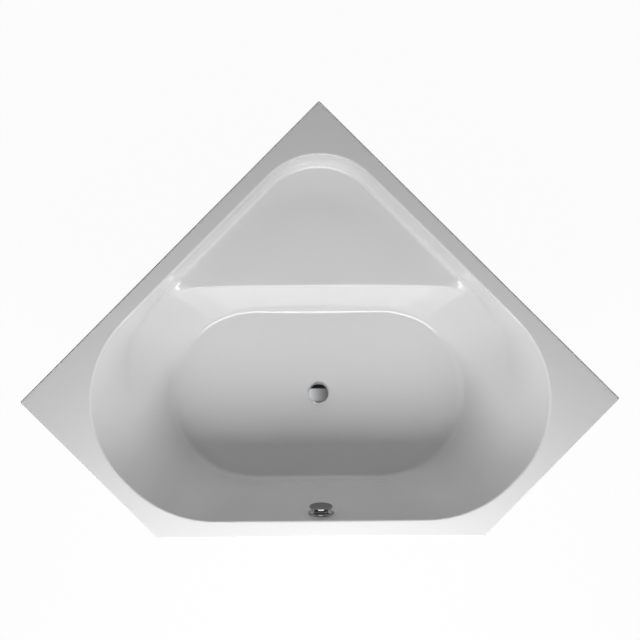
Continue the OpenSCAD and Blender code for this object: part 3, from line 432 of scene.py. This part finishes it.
zinc_dip = Finish("galvanised_sheet")
spangle = zinc_dip.node("ShaderNodeTexVoronoi", {"feature": "F1"}, {
    "Vector": zinc_dip.stretched((1, 1, 1), (0.3, 0.5, 0.2)), "Scale": 85, "Randomness": 1}, "Color")
grain = zinc_dip.node("ShaderNodeSeparateColor", {}, {0: spangle}, "Green")
frost = zinc_dip.noise(300, 4, zinc_dip.stretched((1, 5, 1)))
zinc_dip = zinc_dip.surface(
    zinc_dip.mix(grain, (0.47, 0.48, 0.49), (0.66, 0.67, 0.68)), 0.30 + 0.22 * grain + 0.12 * frost,
    zinc_dip.bump(grain * 0.3 + frost * 0.3, 0.0003), Metallic=1.0)
dress(zinc_dip, "rail_left", "rail_right", "seat_post")

# Wood screws: pan-headed steel screws with a cross recess, plated with zinc, driven up through the
# rail flanges and the post's plate into the boards. Only their heads show.

bright_zinc = Finish("bright_zinc_plating")
haze = bright_zinc.noise(180, 4)
rainbow = bright_zinc.noise(40, 2)
bright_zinc = bright_zinc.surface(
    bright_zinc.mix(rainbow, (0.60, 0.62, 0.66), (0.70, 0.70, 0.66)), 0.22 + 0.2 * haze,
    bright_zinc.bump(haze, 0.0002), Metallic=1.0)


def screw_points(width, tall, root, shank):
    """A cross-recessed screw along Z whose head seats at 0. The head's height over its radius r is
    tall * (edge + (1 - edge) * (1 - (r / width)^2)^0.5), less a cross-shaped pit that is deepest in the
    middle; below it a shank of radius root runs shank deep."""
    edge, arm_half, arm_end, pit_depth, pit_tilt, sides = 0.35, 0.13, 0.58, 0.55, 1.25, 48
    angle = np.linspace(0, 2 * np.pi, sides, endpoint=False)
    share = np.array([0, 0.1, 0.2, 0.3, 0.4, 0.5, 0.55, 0.62, 0.75, 0.88, 0.96, 1.0])[:, None]
    r = share * width * np.ones(sides)
    x, y = r * np.cos(angle), r * np.sin(angle)
    in_cross = (np.minimum(np.abs(x), np.abs(y)) < arm_half * width) & (share < arm_end)
    pit = np.where(in_cross, pit_depth * tall * (pit_tilt - share), 0)
    top = np.stack([x, y, tall * (edge + (1 - edge) * np.sqrt(np.maximum(0, 1 - share ** 2))) - pit], -1)
    side = turned([[width, 0], [root, 0], [root, -shank], [0, -shank]], sides)
    points = np.concatenate([top, side])
    return points, grid_faces(len(points), sides, False, True)


rail_x, board_z, rail_z, rail_t, plate_t = 0.330, 0.123, 0.098, 0.002, 0.003
flange_x, screw_pitch, post_back, seat_board_t, plate_screw = 0.0275, 0.18, 0.431, 0.012, 0.038
foot_half, post_y, seat_board_z = 0.310, apex_y - post_back, seat_z - shell_t - seat_board_t
rail_screws = [[side * rail_x + edge * flange_x, side_y + k * screw_pitch, board_z - rail_t]
               for side in (-1, 1) for edge in (-1, 1) for k in (-1, 0, 1)]
post_screws = [[x * plate_screw, post_y + y * plate_screw, seat_board_z - plate_t]
               for x in (-1, 1) for y in (-1, 1)]
for name, places in (("rail_screws", rail_screws), ("seat_post_screws", post_screws)):
    points, faces = screw_points(width=0.004, tall=0.002, root=0.002, shank=0.011)
    heads = piece(name + "_cross_headed", [(points * [1, 1, -1] + place, faces) for place in places])
    heads.data.materials.append(bright_zinc)
    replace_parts(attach(heads, "tub"), name)

# Levelling feet: a threaded steel spindle with a hexagon collar for the spanner stands in a pad of hard
# black plastic. One nut rests on the rail's web and a second one locks it from below.


def hexagon(flats, low, high, bore, n=72):
    """A nut about Z with a chamfered edge: its radius is flats / 2 / cos(angle from the nearest flat's
    middle), held to a circle at both ends. A bore of 0 makes it solid."""
    angle = np.linspace(0, 2 * np.pi, n, endpoint=False)
    corner = flats / 2 / np.cos(np.mod(angle, np.pi / 3) - np.pi / 6)
    ring = np.minimum(corner, flats / 2 * 1.01)
    chamfer = (corner.max() - flats / 2) / 2
    side, hole = np.minimum(corner, corner.max() - 1e-5), bore + 0 * angle
    rows = [(hole, low), (ring, low), (side, low + chamfer),
            (side, high - chamfer), (ring, high), (hole, high)]
    points = np.stack([
        np.stack([r * np.cos(angle), r * np.sin(angle), 0 * angle + z], -1) for r, z in rows])
    return points, grid_faces(len(rows), n, bore > 0, True)


def thread(radius, low, high, pitch, depth, n=24, per_turn=6):
    """A screw thread about Z: its radius is radius - depth * |2 frac(z / pitch - angle / 2 pi) - 1|, drawn
    in at both shut ends, where it grows by 0.7 of the distance from the end."""
    z = np.linspace(low, high, int((high - low) / pitch * per_turn) + 1)[:, None]
    angle = np.linspace(0, 2 * np.pi, n, endpoint=False)
    wave = np.abs(2 * np.mod(z / pitch - angle / (2 * np.pi), 1) - 1)
    point = np.minimum(radius, radius - depth + 0.7 * np.minimum(z - low, high - z))
    r = np.minimum(radius - depth * wave, point)
    side = np.stack([r * np.cos(angle), r * np.sin(angle), z + 0 * angle], -1)
    points = np.concatenate([side[:1] * [0, 0, 1], side, side[-1:] * [0, 0, 1]])
    return points, grid_faces(len(points), n, False, True)


spindle_r, socket_z, spindle_top = 0.005, 0.006, 0.150
nut_flats, nut_h, nut_gap = 0.017, 0.008, 0.0001
feet = {"front_left": (-rail_x, side_y - foot_half), "front_right": (rail_x, side_y - foot_half),
        "back_left": (-rail_x, side_y + foot_half), "back_right": (rail_x, side_y + foot_half),
        "seat": (0, post_y)}
screwed = thread(spindle_r, socket_z, spindle_top, pitch=0.0015, depth=0.0007)
collar = hexagon(flats=0.013, low=0.019, high=0.026, bore=0)
for foot, (x, y) in feet.items():
    rod = piece("threaded_spindle_" + foot, [
        (points + [x, y, 0], faces) for points, faces in (screwed, collar)], 30)
    rod.data.materials.append(bright_zinc)
    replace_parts(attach(rod, "foot_" + foot), "foot_spindle_" + foot)
for name, low in (("foot_nuts", rail_z + rail_t), ("foot_locknuts", rail_z - nut_h)):
    lift = {foot: plate_t - rail_t if foot == "seat" and name == "foot_nuts" else 0 for foot in feet}
    points, faces = hexagon(nut_flats, low, low + nut_h, spindle_r + nut_gap)
    nuts = piece(name + "_chamfered", [
        (points + [x, y, lift[foot]], faces) for foot, (x, y) in feet.items()], 20)
    nuts.data.materials.append(bright_zinc)
    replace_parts(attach(nuts, "tub"), name)

pad_black = Finish("black_moulded_pad")
pad_grain = pad_black.noise(900, 2)
scuff = pad_black.between(pad_black.noise(70, 5), 0.5, 0.72)
pad_black = pad_black.surface(
    pad_black.mix(scuff, (0.022, 0.022, 0.024), (0.085, 0.083, 0.08)), 0.42 + 0.25 * scuff,
    pad_black.bump(pad_grain, 0.00015))
dress(pad_black, *("foot_pad_" + foot for foot in feet))

# Waste fitting: a chromed brass flange is screwed down through the floor into a white polypropylene
# body, with a rubber seal above and below the sheet. The lever inside lifts the plug.

chrome = Finish("polished_chrome")
smear = chrome.noise(25, 4, rough=0.6, warp=0.4)
chrome = chrome.surface(
    chrome.mix(smear, (0.66, 0.67, 0.69), (0.70, 0.71, 0.72)), 0.035 + 0.05 * smear,
    chrome.bump(chrome.noise(14, 1), 0.0002), Metallic=1.0)

rubber = Finish("black_rubber")
bloom = rubber.noise(45, 4)
rubber = rubber.surface(
    rubber.mix(bloom, (0.018, 0.018, 0.018), (0.055, 0.055, 0.053)), 0.55 + 0.25 * bloom,
    rubber.bump(rubber.noise(1200, 2), 0.0001))

white_plastic = Finish("white_polypropylene")
orange_peel = white_plastic.noise(500, 2)
dust = white_plastic.between(white_plastic.noise(18, 5), 0.5, 0.8)
white_plastic = white_plastic.surface(
    white_plastic.mix(dust, (0.76, 0.76, 0.74), (0.64, 0.63, 0.59)), 0.36 + 0.2 * dust,
    white_plastic.bump(orange_peel, 0.00015), IOR=1.49)

brass = Finish("turned_brass")
lathe = brass.noise(400, 2, brass.stretched((0.05, 0.05, 6)))
tarnish = brass.noise(60, 4)
brass = brass.surface(
    brass.mix(brass.between(tarnish, 0.4, 0.7), (0.74, 0.53, 0.24), (0.46, 0.31, 0.15)),
    0.24 + 0.2 * tarnish, brass.bump(lathe, 0.0002), Metallic=1.0)

dress(chrome, "waste_flange")
dress(rubber, "waste_seal_upper", "waste_seal_lower", "plug_seal")
dress(white_plastic, "waste_body", "lever_cover")
dress(brass, "plug_stem", "lift_lever")

# Plug: a pressed chrome cap, gently domed, with a rolled edge, on a brass stem that slides in the
# flange's hub. It is shown at rest, a few millimetres over the flange, where the water runs under it.

plug_r, plug_h, plug_edge_h, roll = 0.035, 0.006, 0.003, 0.0012
floor_seal_t, flange_t, rest_gap, plug_seal_t = 0.0015, 0.0025, 0.0003, 0.0015
plug_z = low_z + floor_seal_t + flange_t + rest_gap + plug_seal_t


def plug_profile():
    """Radius and height of the plug's cap: a flat underside, a rolled edge of radius roll and a dome that
    falls by r^2 / (2 R) from the middle, R being the sphere through the crown and the edge."""
    sphere = (plug_r ** 2 + (plug_h - plug_edge_h) ** 2) / (2 * (plug_h - plug_edge_h))
    r = np.linspace(0, plug_r - roll, 26)
    dome = np.stack([r, plug_h - r ** 2 / (2 * sphere)], -1)[::-1]
    a = np.linspace(-np.pi / 2, np.pi / 2, 15)[1:-1]
    high = dome[0, 1]
    edge = np.stack([plug_r - roll + roll * np.cos(a), high / 2 + high / 2 * np.sin(a)], -1)
    return np.concatenate([[[0, 0], [plug_r - roll, 0]], edge, dome])


profile, cap_sides = plug_profile(), 128
cap = piece("plug_domed_cap", [
    (turned(profile, cap_sides) + [*pole, plug_z], grid_faces(len(profile), cap_sides, False, True))], 60)
cap.data.materials.append(chrome)
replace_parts(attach(cap, "plug"), "plug_cap")

# Overflow: a chromed cover ring with a bridge across its hole is screwed through the wall into the elbow
# behind it, over a rubber gasket. The chromed knob stands off in front on gussets, so that the water
# runs in behind it, and turns the brass shaft that works the waste by cable.

ring_r, ring_hole_r, ring_h, bridge_t = 0.042, 0.026, 0.005, 0.0025
knob_r, knob_low, knob_front, hub_r, gusset_t = 0.0385, 0.020, 0.025, 0.009, 0.004


def rounded(profile, radius, n=5):
    """A profile of (radius, height) corners with each inner corner rounded by the quadratic curve
    (1-t)^2 start + 2 t (1-t) corner + t^2 end, whose ends lie radius, or 0.45 of the shorter side if that
    is less, from it."""
    p = np.asarray(profile, float)
    corner, a, b = p[1:-1], p[:-2] - p[1:-1], p[2:] - p[1:-1]
    shorter = np.minimum(np.linalg.norm(a, axis=1), np.linalg.norm(b, axis=1))
    run = np.minimum(radius, 0.45 * shorter)[:, None]
    start, end, t = corner + unit(a) * run, corner + unit(b) * run, np.linspace(0, 1, n)[:, None, None]
    curve = start * (1 - t) ** 2 + corner * 2 * t * (1 - t) + end * t * t
    return np.concatenate([p[:1], curve.transpose(1, 0, 2).reshape(-1, 2), p[-1:]])


def plate(corners, thick, edge=0.0005):
    """A flat plate with a convex outline in its first two coordinates and its thickness across the third.
    Its edges are drawn in by edge towards the middle, which closes both faces as a pole."""
    c = np.asarray(corners, float)
    middle = c.mean(0)
    steps = np.linspace(0, 1, 9)[:-1, None]
    c = (c[:, None] * (1 - steps) + np.roll(c, -1, 0)[:, None] * steps).reshape(-1, 2)
    slim = c + unit(middle - c) * edge * 1.2
    rows = [(middle + 0 * c, -thick / 2), (slim, -thick / 2), (c, edge - thick / 2),
            (c, thick / 2 - edge), (slim, thick / 2), (middle + 0 * c, thick / 2)]
    points = np.stack([np.concatenate([r, 0 * r[:, :1] + h], 1) for r, h in rows])
    return points, grid_faces(len(rows), len(c), False, True)


ring_slope, hole_slope, bridge_half, bridge_lap = 0.002, 0.003, 0.005, 0.001
trim_r, disc_sides, boss_sides = 0.0005, 120, 48
ring_line = rounded([
    [ring_hole_r, 0], [ring_r, 0], [ring_r, ring_h - ring_slope], [ring_r - ring_slope, ring_h],
    [ring_hole_r + hole_slope, ring_h], [ring_hole_r, bridge_t], [ring_hole_r, 0]], trim_r)[:-1]
bridge_end = ring_hole_r + bridge_lap
bridge = plate([[-bridge_end, -bridge_half], [bridge_end, -bridge_half], [bridge_end, bridge_half],
                [-bridge_end, bridge_half]], bridge_t)
boss = rounded([[0, 0], [hub_r, 0], [hub_r, bridge_t], [0, bridge_t]], trim_r)
ring = piece("overflow_cover_ring", [
    (at_overflow(turned(ring_line, disc_sides)), grid_faces(len(ring_line), disc_sides, True, True)),
    (at_overflow(bridge[0] + [0, 0, bridge_t / 2]), bridge[1]),
    (at_overflow(turned(boss, boss_sides)), grid_faces(len(boss), boss_sides, False, True))], 30)
# A darker chrome, base colour 0.20 to 0.27, that is painted shade and dark reflection on the ring's outer
# edge and the knob's cap
painted_shade_chrome = Finish("painted_shade_chrome")
finger = painted_shade_chrome.noise(60, 4, rough=0.6, warp=0.5)
painted_shade_chrome = painted_shade_chrome.surface(
    painted_shade_chrome.mix(finger, (0.20, 0.20, 0.21), (0.27, 0.27, 0.28)), 0.06 + 0.08 * finger,
    painted_shade_chrome.bump(painted_shade_chrome.noise(30, 1), 0.0002), Metallic=1.0)
# Bands of faces round the ring, from halfway round its rear corner to halfway round its front one, take the
# darker chrome: painted shade and dark reflection along the ring's outer edge
first_painted_shade_band, last_painted_shade_band = 3, 12
band = np.arange(len(ring.data.polygons)) // disc_sides
painted_shade_edge = (band >= first_painted_shade_band) & (band <= last_painted_shade_band)
ring.data.polygons.foreach_set("material_index", painted_shade_edge.astype("i4"))
ring.data.materials.append(chrome)
ring.data.materials.append(painted_shade_chrome)
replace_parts(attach(ring, "tub"), "overflow_ring")

# The cap is slightly hollow in front, the hub is waisted above and below its ball, and each gusset lies in
# the plane of (distance from the axis, height), turned about the axis
back_edge, front_edge, hollow, gusset_in, gusset_end = 0.0015, 0.001, 0.0012, 0.005, knob_r - 0.006
face_line = rounded([
    [0, knob_low], [knob_r - back_edge, knob_low], [knob_r, knob_low + back_edge],
    [knob_r, knob_front - front_edge], [knob_r - front_edge, knob_front], [0, knob_front - hollow]], trim_r)
hub_line = rounded([
    [0, 0.006], [0.0075, 0.006], [0.0055, 0.0075], [0.0085, 0.010], [0.0085, 0.0145], [0.0055, 0.017],
    [0.0075, 0.0205], [0, 0.0205]], 0.0022)
gusset = plate([
    [gusset_in, 0.007], [gusset_end, 0.007], [gusset_end, 0.009], [knob_r / 2, knob_low],
    [knob_r / 2, knob_low + 0.001], [gusset_in, knob_low + 0.001]], gusset_t)
knob_parts = [(at_overflow(turned(line, sides)), grid_faces(len(line), sides, False, True))
              for line, sides in ((face_line, disc_sides), (hub_line, boss_sides))]
spread, rise, across = np.moveaxis(gusset[0], -1, 0)
for a in np.radians([30, 150, 210, 330]):
    turned_gusset = [spread * np.cos(a) + across * np.sin(a), spread * np.sin(a) - across * np.cos(a), rise]
    knob_parts.append((at_overflow(np.stack(turned_gusset, -1)), gusset[1]))
knob = piece("overflow_rotary_knob", knob_parts, 30)
# The cap takes the darker chrome all over: painted shade and dark reflection on the knob's face and rim
painted_shade_cap = np.arange(len(knob.data.polygons)) < len(knob_parts[0][1])
knob.data.polygons.foreach_set("material_index", painted_shade_cap.astype("i4"))
knob.data.materials.append(chrome)
knob.data.materials.append(painted_shade_chrome)
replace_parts(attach(knob, "knob"), "overflow_knob")

dress(rubber, "overflow_gasket")
dress(white_plastic, "overflow_elbow")
dress(brass, "knob_shaft")
points, faces = screw_points(width=0.0035, tall=0.002, root=0.002, shank=0.026)
ring_screw_x = 0.015
screws = piece("overflow_screws_cross_headed", [
    (at_overflow(points + [x, 0, bridge_t]), faces) for x in (-ring_screw_x, ring_screw_x)], 30)
screws.data.materials.append(bright_zinc)
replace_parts(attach(screws, "tub"), "overflow_screws")

# Control cable: a steel wire in a black plastic sheath, with a crimped ferrule at each end. It runs from
# the knob's elbow down behind the wall and under the well to the lever's housing.


def unit_way(points):
    """Direction along a path at each point: the difference of its two neighbours, made one long."""
    return unit(np.concatenate([
        points[1:2] - points[:1], points[2:] - points[:-2], points[-1:] - points[-2:-1]]))


def path(route, radius, step):
    """Points along a route of corners, at most step apart, its inner corners rounded by the conic that
    bend() uses, with run = radius / tan(half)."""
    route = np.asarray(route, float)
    found, at = [route[:1]], route[0]

    def shares(length):
        return np.linspace(0, 1, int(np.ceil(length / step)) + 1)[1:, None]

    for before, corner, after in zip(route, route[1:], route[2:]):
        a, b = unit(before - corner), unit(after - corner)
        half = np.arccos(a @ b) / 2
        start, end = corner + a * radius / np.tan(half), corner + b * radius / np.tan(half)
        found.append(at + (start - at) * shares(np.linalg.norm(start - at)))
        t = shares(radius * (np.pi - 2 * half))
        o, w = 1 - t, np.sin(half)
        found.append((start * o * o + corner * 2 * w * t * o + end * t * t) / (o * o + 2 * w * t * o + t * t))
        at = end
    found.append(at + (route[-1] - at) * shares(np.linalg.norm(route[-1] - at)))
    return np.concatenate(found)


def along(points, radii, aside, sides):
    """Rings of a tube: point + (across cos a + up sin a) * radius, where across is aside less its part along
    the path, made one long, and up is the path's direction x across."""
    ahead = unit_way(points)
    across = unit(aside - ahead * (ahead @ np.asarray(aside, float))[:, None])
    up = np.cross(ahead, across)
    a = np.linspace(0, 2 * np.pi, sides, endpoint=False)[:, None]
    ring = across[:, None] * np.cos(a) + up[:, None] * np.sin(a)
    return points[:, None] + ring * np.reshape(radii, (-1, 1, 1))


def lengths(points):
    """Distance along a path from its first point to each of its points."""
    return np.concatenate([[0], np.cumsum(np.linalg.norm(np.diff(points, axis=0), axis=1))])


cable_r, cable_z, cable_bend_r, cable_step, cable_sides = 0.003, 0.097, 0.050, 0.006, 20
elbow_gland_x, cable_far_x, cable_x, cable_straight, cable_off = 0.042, 0.100, 0.048, 0.090, 0.002
lever_back, house_half, gland_len = 0.022, 0.015, 0.010
# The elbow's outlets, sideways for the cable and down for the hose, lie this far behind the wall's face
wall_back = -0.0305
cable_from = at_overflow([[elbow_gland_x, 0, wall_back]])[0]
cable_foot = (front_y + rim_w + (rim_h - cable_z) * np.tan(overflow_lean)
              + (wall_back - cable_off) / np.cos(overflow_lean))
gland_y = pole[1] + lever_back - house_half - gland_len
cable_line = path([
    cable_from, [cable_far_x, *cable_from[1:]], [cable_far_x, cable_foot, cable_z],
    [cable_x, gland_y - cable_straight, cable_z], [cable_x, gland_y, cable_z]], cable_bend_r, cable_step)
far = lengths(cable_line)
from_end = np.minimum(far, far[-1] - far)
# A ferrule is a sleeve round the sheath's end with one groove pressed into it
sleeve_t, sleeve_len, sleeve_rise, sleeve_fall, metal_len = 0.0006, 0.016, 0.001, 0.002, 0.0175
groove_t, groove_at, groove_w = 0.0003, 0.006, 0.0012
sleeve = sleeve_t * (ease(from_end / sleeve_rise) - ease((from_end - sleeve_len) / sleeve_fall))
ferrule = sleeve - groove_t * np.exp(-((from_end - groove_at) / groove_w) ** 2)
sheath = along(cable_line, cable_r + ferrule, [0.6, -0.3, 0.74], cable_sides)
sheath = np.concatenate([sheath[:1] * 0 + cable_line[0], sheath, sheath[:1] * 0 + cable_line[-1]])
cable = piece("control_cable", [(sheath, grid_faces(len(sheath), cable_sides, False, True))])
middles = (from_end[:-1] + from_end[1:]) / 2
metal_row = np.concatenate([[0], middles, [0]]) < metal_len
cable.data.polygons.foreach_set("material_index", np.repeat(metal_row, cable_sides).astype("i4"))
sheath_black = Finish("black_cable_sheath")
rub = sheath_black.between(sheath_black.noise(120, 4), 0.5, 0.75)
sheath_black = sheath_black.surface(
    sheath_black.mix(rub, (0.016, 0.016, 0.017), (0.06, 0.06, 0.06)), 0.34 + 0.2 * rub,
    sheath_black.bump(sheath_black.noise(700, 2), 0.0001))
cable.data.materials.append(sheath_black)
cable.data.materials.append(bright_zinc)
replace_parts(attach(cable, "tub"), "bowden_cable")

# Overflow hose: grey polypropylene, blown into rounded ribs so that it bends by hand, with a plain cuff at
# each end that its union nut clamps onto the elbow's and the waste body's spigots.

hose_r, hose_bore, rib_pitch, rib_depth, cuff = 0.019, 0.014, 0.008, 0.0025, 0.038
elbow_len, inlet_z, pot_r, spigot_len = 0.058, 0.101, 0.036, 0.028
hose_bend_r, rib_steps, hose_sides, cuff_fade = 0.110, 8, 48, 0.004
hose_corner = (front_y + rim_w + (rim_h - inlet_z) * np.tan(overflow_lean)
               + wall_back / np.cos(overflow_lean))
hose_line = path([at_overflow([[0, elbow_len, wall_back]])[0], [0, hose_corner, inlet_z],
                  [0, pole[1] - pot_r - spigot_len, inlet_z]], hose_bend_r, rib_pitch / rib_steps)
far = lengths(hose_line)
from_end = np.minimum(far, far[-1] - far)
# The outside swells and sinks by a cosine with the ribs' pitch, and the inside is a plain bore
swell = 0.5 + 0.5 * np.cos(2 * np.pi * far / rib_pitch)
ribbed = hose_r - rib_depth * (1 - swell ** 0.6) * ease((from_end - cuff) / cuff_fade)
outside = along(hose_line, ribbed, [1, 0, 0], hose_sides)
bore = along(hose_line, np.full(len(far), hose_bore), [1, 0, 0], hose_sides)
hose_rows = np.concatenate([outside, bore[::-rib_steps], bore[:1]])
hose = piece("ribbed_overflow_hose", [
    (hose_rows, grid_faces(len(hose_rows), hose_sides, True, True))], 50)
grey_plastic = Finish("grey_polypropylene")
cloud = grey_plastic.noise(22, 4)
grey_plastic = grey_plastic.surface(
    grey_plastic.mix(cloud, (0.30, 0.31, 0.32), (0.38, 0.385, 0.39)), 0.32 + 0.16 * cloud,
    grey_plastic.bump(grey_plastic.noise(420, 2), 0.00012), IOR=1.49)
hose.data.materials.append(grey_plastic)
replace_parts(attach(hose, "tub"), "overflow_hose")
dress(white_plastic, "hose_nut_upper", "hose_nut_lower")

# Trap: a bent polypropylene pipe whose flare the union nut draws up against a rubber washer on the waste
# body's outlet. It swivels there until the nut is tight, and ends in the spigot for the waste pipe.

dress(white_plastic, "trap_nut", "trap_body")
dress(rubber, "trap_washer")

# Room and studio: pale paper underneath, a strong and a low soft box in front and a weak one behind. The
# paper and the room look white to the camera and in the shine of chrome and acrylic, but for a dim ceiling
# with one bright strip.

floor_half, paper_glow, room_fill = 40, 0.96, 0.10
floor_corners = np.array([[-1, -1, 0], [1, -1, 0], [1, 1, 0], [-1, 1, 0]]) * floor_half
floor = piece("studio_floor", [(floor_corners, np.array([[0, 1, 2, 3]]))])


def ray_kinds(finish):
    """1 where the light path is a camera, a glossy and a transmission ray, as three Values."""
    kinds = finish.tree.nodes.new("ShaderNodeLightPath").outputs
    return (Value(finish, kinds["Is %s Ray" % kind]) for kind in ("Camera", "Glossy", "Transmission"))


paper = Finish("floor_paper")
camera_ray, glossy_ray, transmission_ray = ray_kinds(paper)
seen = camera_ray + glossy_ray + transmission_ray
matt = paper.node("ShaderNodeBsdfDiffuse", {}, {"Color": paper.mix(paper.noise(2), 0.84, 0.86)})
glow = paper.node("ShaderNodeEmission", {}, {"Color": (1, 1, 1, 1), "Strength": 1})
both = paper.node("ShaderNodeMixShader", {}, {
    0: paper_glow * paper.between(seen, 0, 1), 1: matt, 2: glow})
paper.node("ShaderNodeOutputMaterial", {}, {"Surface": both})
floor.data.materials.append(paper.material)

# Each box: its side (-1 in front), its distance and its angle above the point aimed at, which is aim_z high
# over the origin, its width and height, and its power
aim_z = 0.45
for name, side, away, rise_deg, wide, tall, power in (
        ("front_box", -1, 2.2, 39, 1.8, 0.8, 45),
        ("low_box", -1, 3.0, 18, 2.0, 0.6, 8),
        ("back_box", 1, 3.0, 40, 1.6, 1.0, 13)):
    lamp = bpy.data.objects.new(name, bpy.data.lights.new(name, "AREA"))
    bpy.context.scene.collection.objects.link(lamp)
    lamp.data.shape, lamp.data.size, lamp.data.size_y, lamp.data.energy = "RECTANGLE", wide, tall, power
    rise = np.radians(rise_deg)
    lamp.location = (0, side * away * np.cos(rise), aim_z + away * np.sin(rise))
    lamp.rotation_euler = (side * (rise - np.pi / 2), 0, 0)

world = bpy.context.scene.world or bpy.data.worlds.new("studio")
bpy.context.scene.world = world
room = Finish("room", world)
camera_ray, glossy_ray, transmission_ray = ray_kinds(room)
towards = room.node("ShaderNodeTexCoord", out="Generated")
x, y, z = (room.node("ShaderNodeSeparateXYZ", {}, {0: towards}, axis) for axis in "XYZ")
# The strip on the ceiling lies between these directions and grows brighter towards -X
back_fade, front_fade, side_fade, wall_fade = (0.145, 0.125), (-0.36, -0.26), (0.4, -0.4), (0.55, 0.25)
strip = room.between(y, *back_fade) * room.between(y, *front_fade)
overhead = (0.12 + room.between(x, *side_fade) ** 1.5 * 0.85) * strip + 0.015
shine = room.mix(room.between(z, *wall_fade), overhead, 1.0)
mirrored = room.between(glossy_ray + transmission_ray, 0, 1)
light = room.mix(camera_ray, room.mix(mirrored, room_fill, shine), 1.0)
sky = room.node("ShaderNodeBackground", {}, {"Color": light, "Strength": 1})
room.node("ShaderNodeOutputWorld", {}, {"Surface": sky})

# The camera hangs 6 m over the rim, where one pixel of the photograph's frame is 3.298 mm
sensor_mm, frame_px, px_size, rim_away = 36, 640, 0.003298, 6
camera = bpy.data.objects.new("camera", bpy.data.cameras.new("camera"))
bpy.context.scene.collection.objects.link(camera)
camera.location = (-0.108, -0.028, rim_h + rim_away)
camera.rotation_euler = np.radians((0.25, -1.02, -0.33))
camera.data.lens = sensor_mm * rim_away / (frame_px * px_size)
camera.data.clip_end = 200
bpy.context.scene.camera = camera
bpy.context.scene.view_settings.view_transform = "Standard"
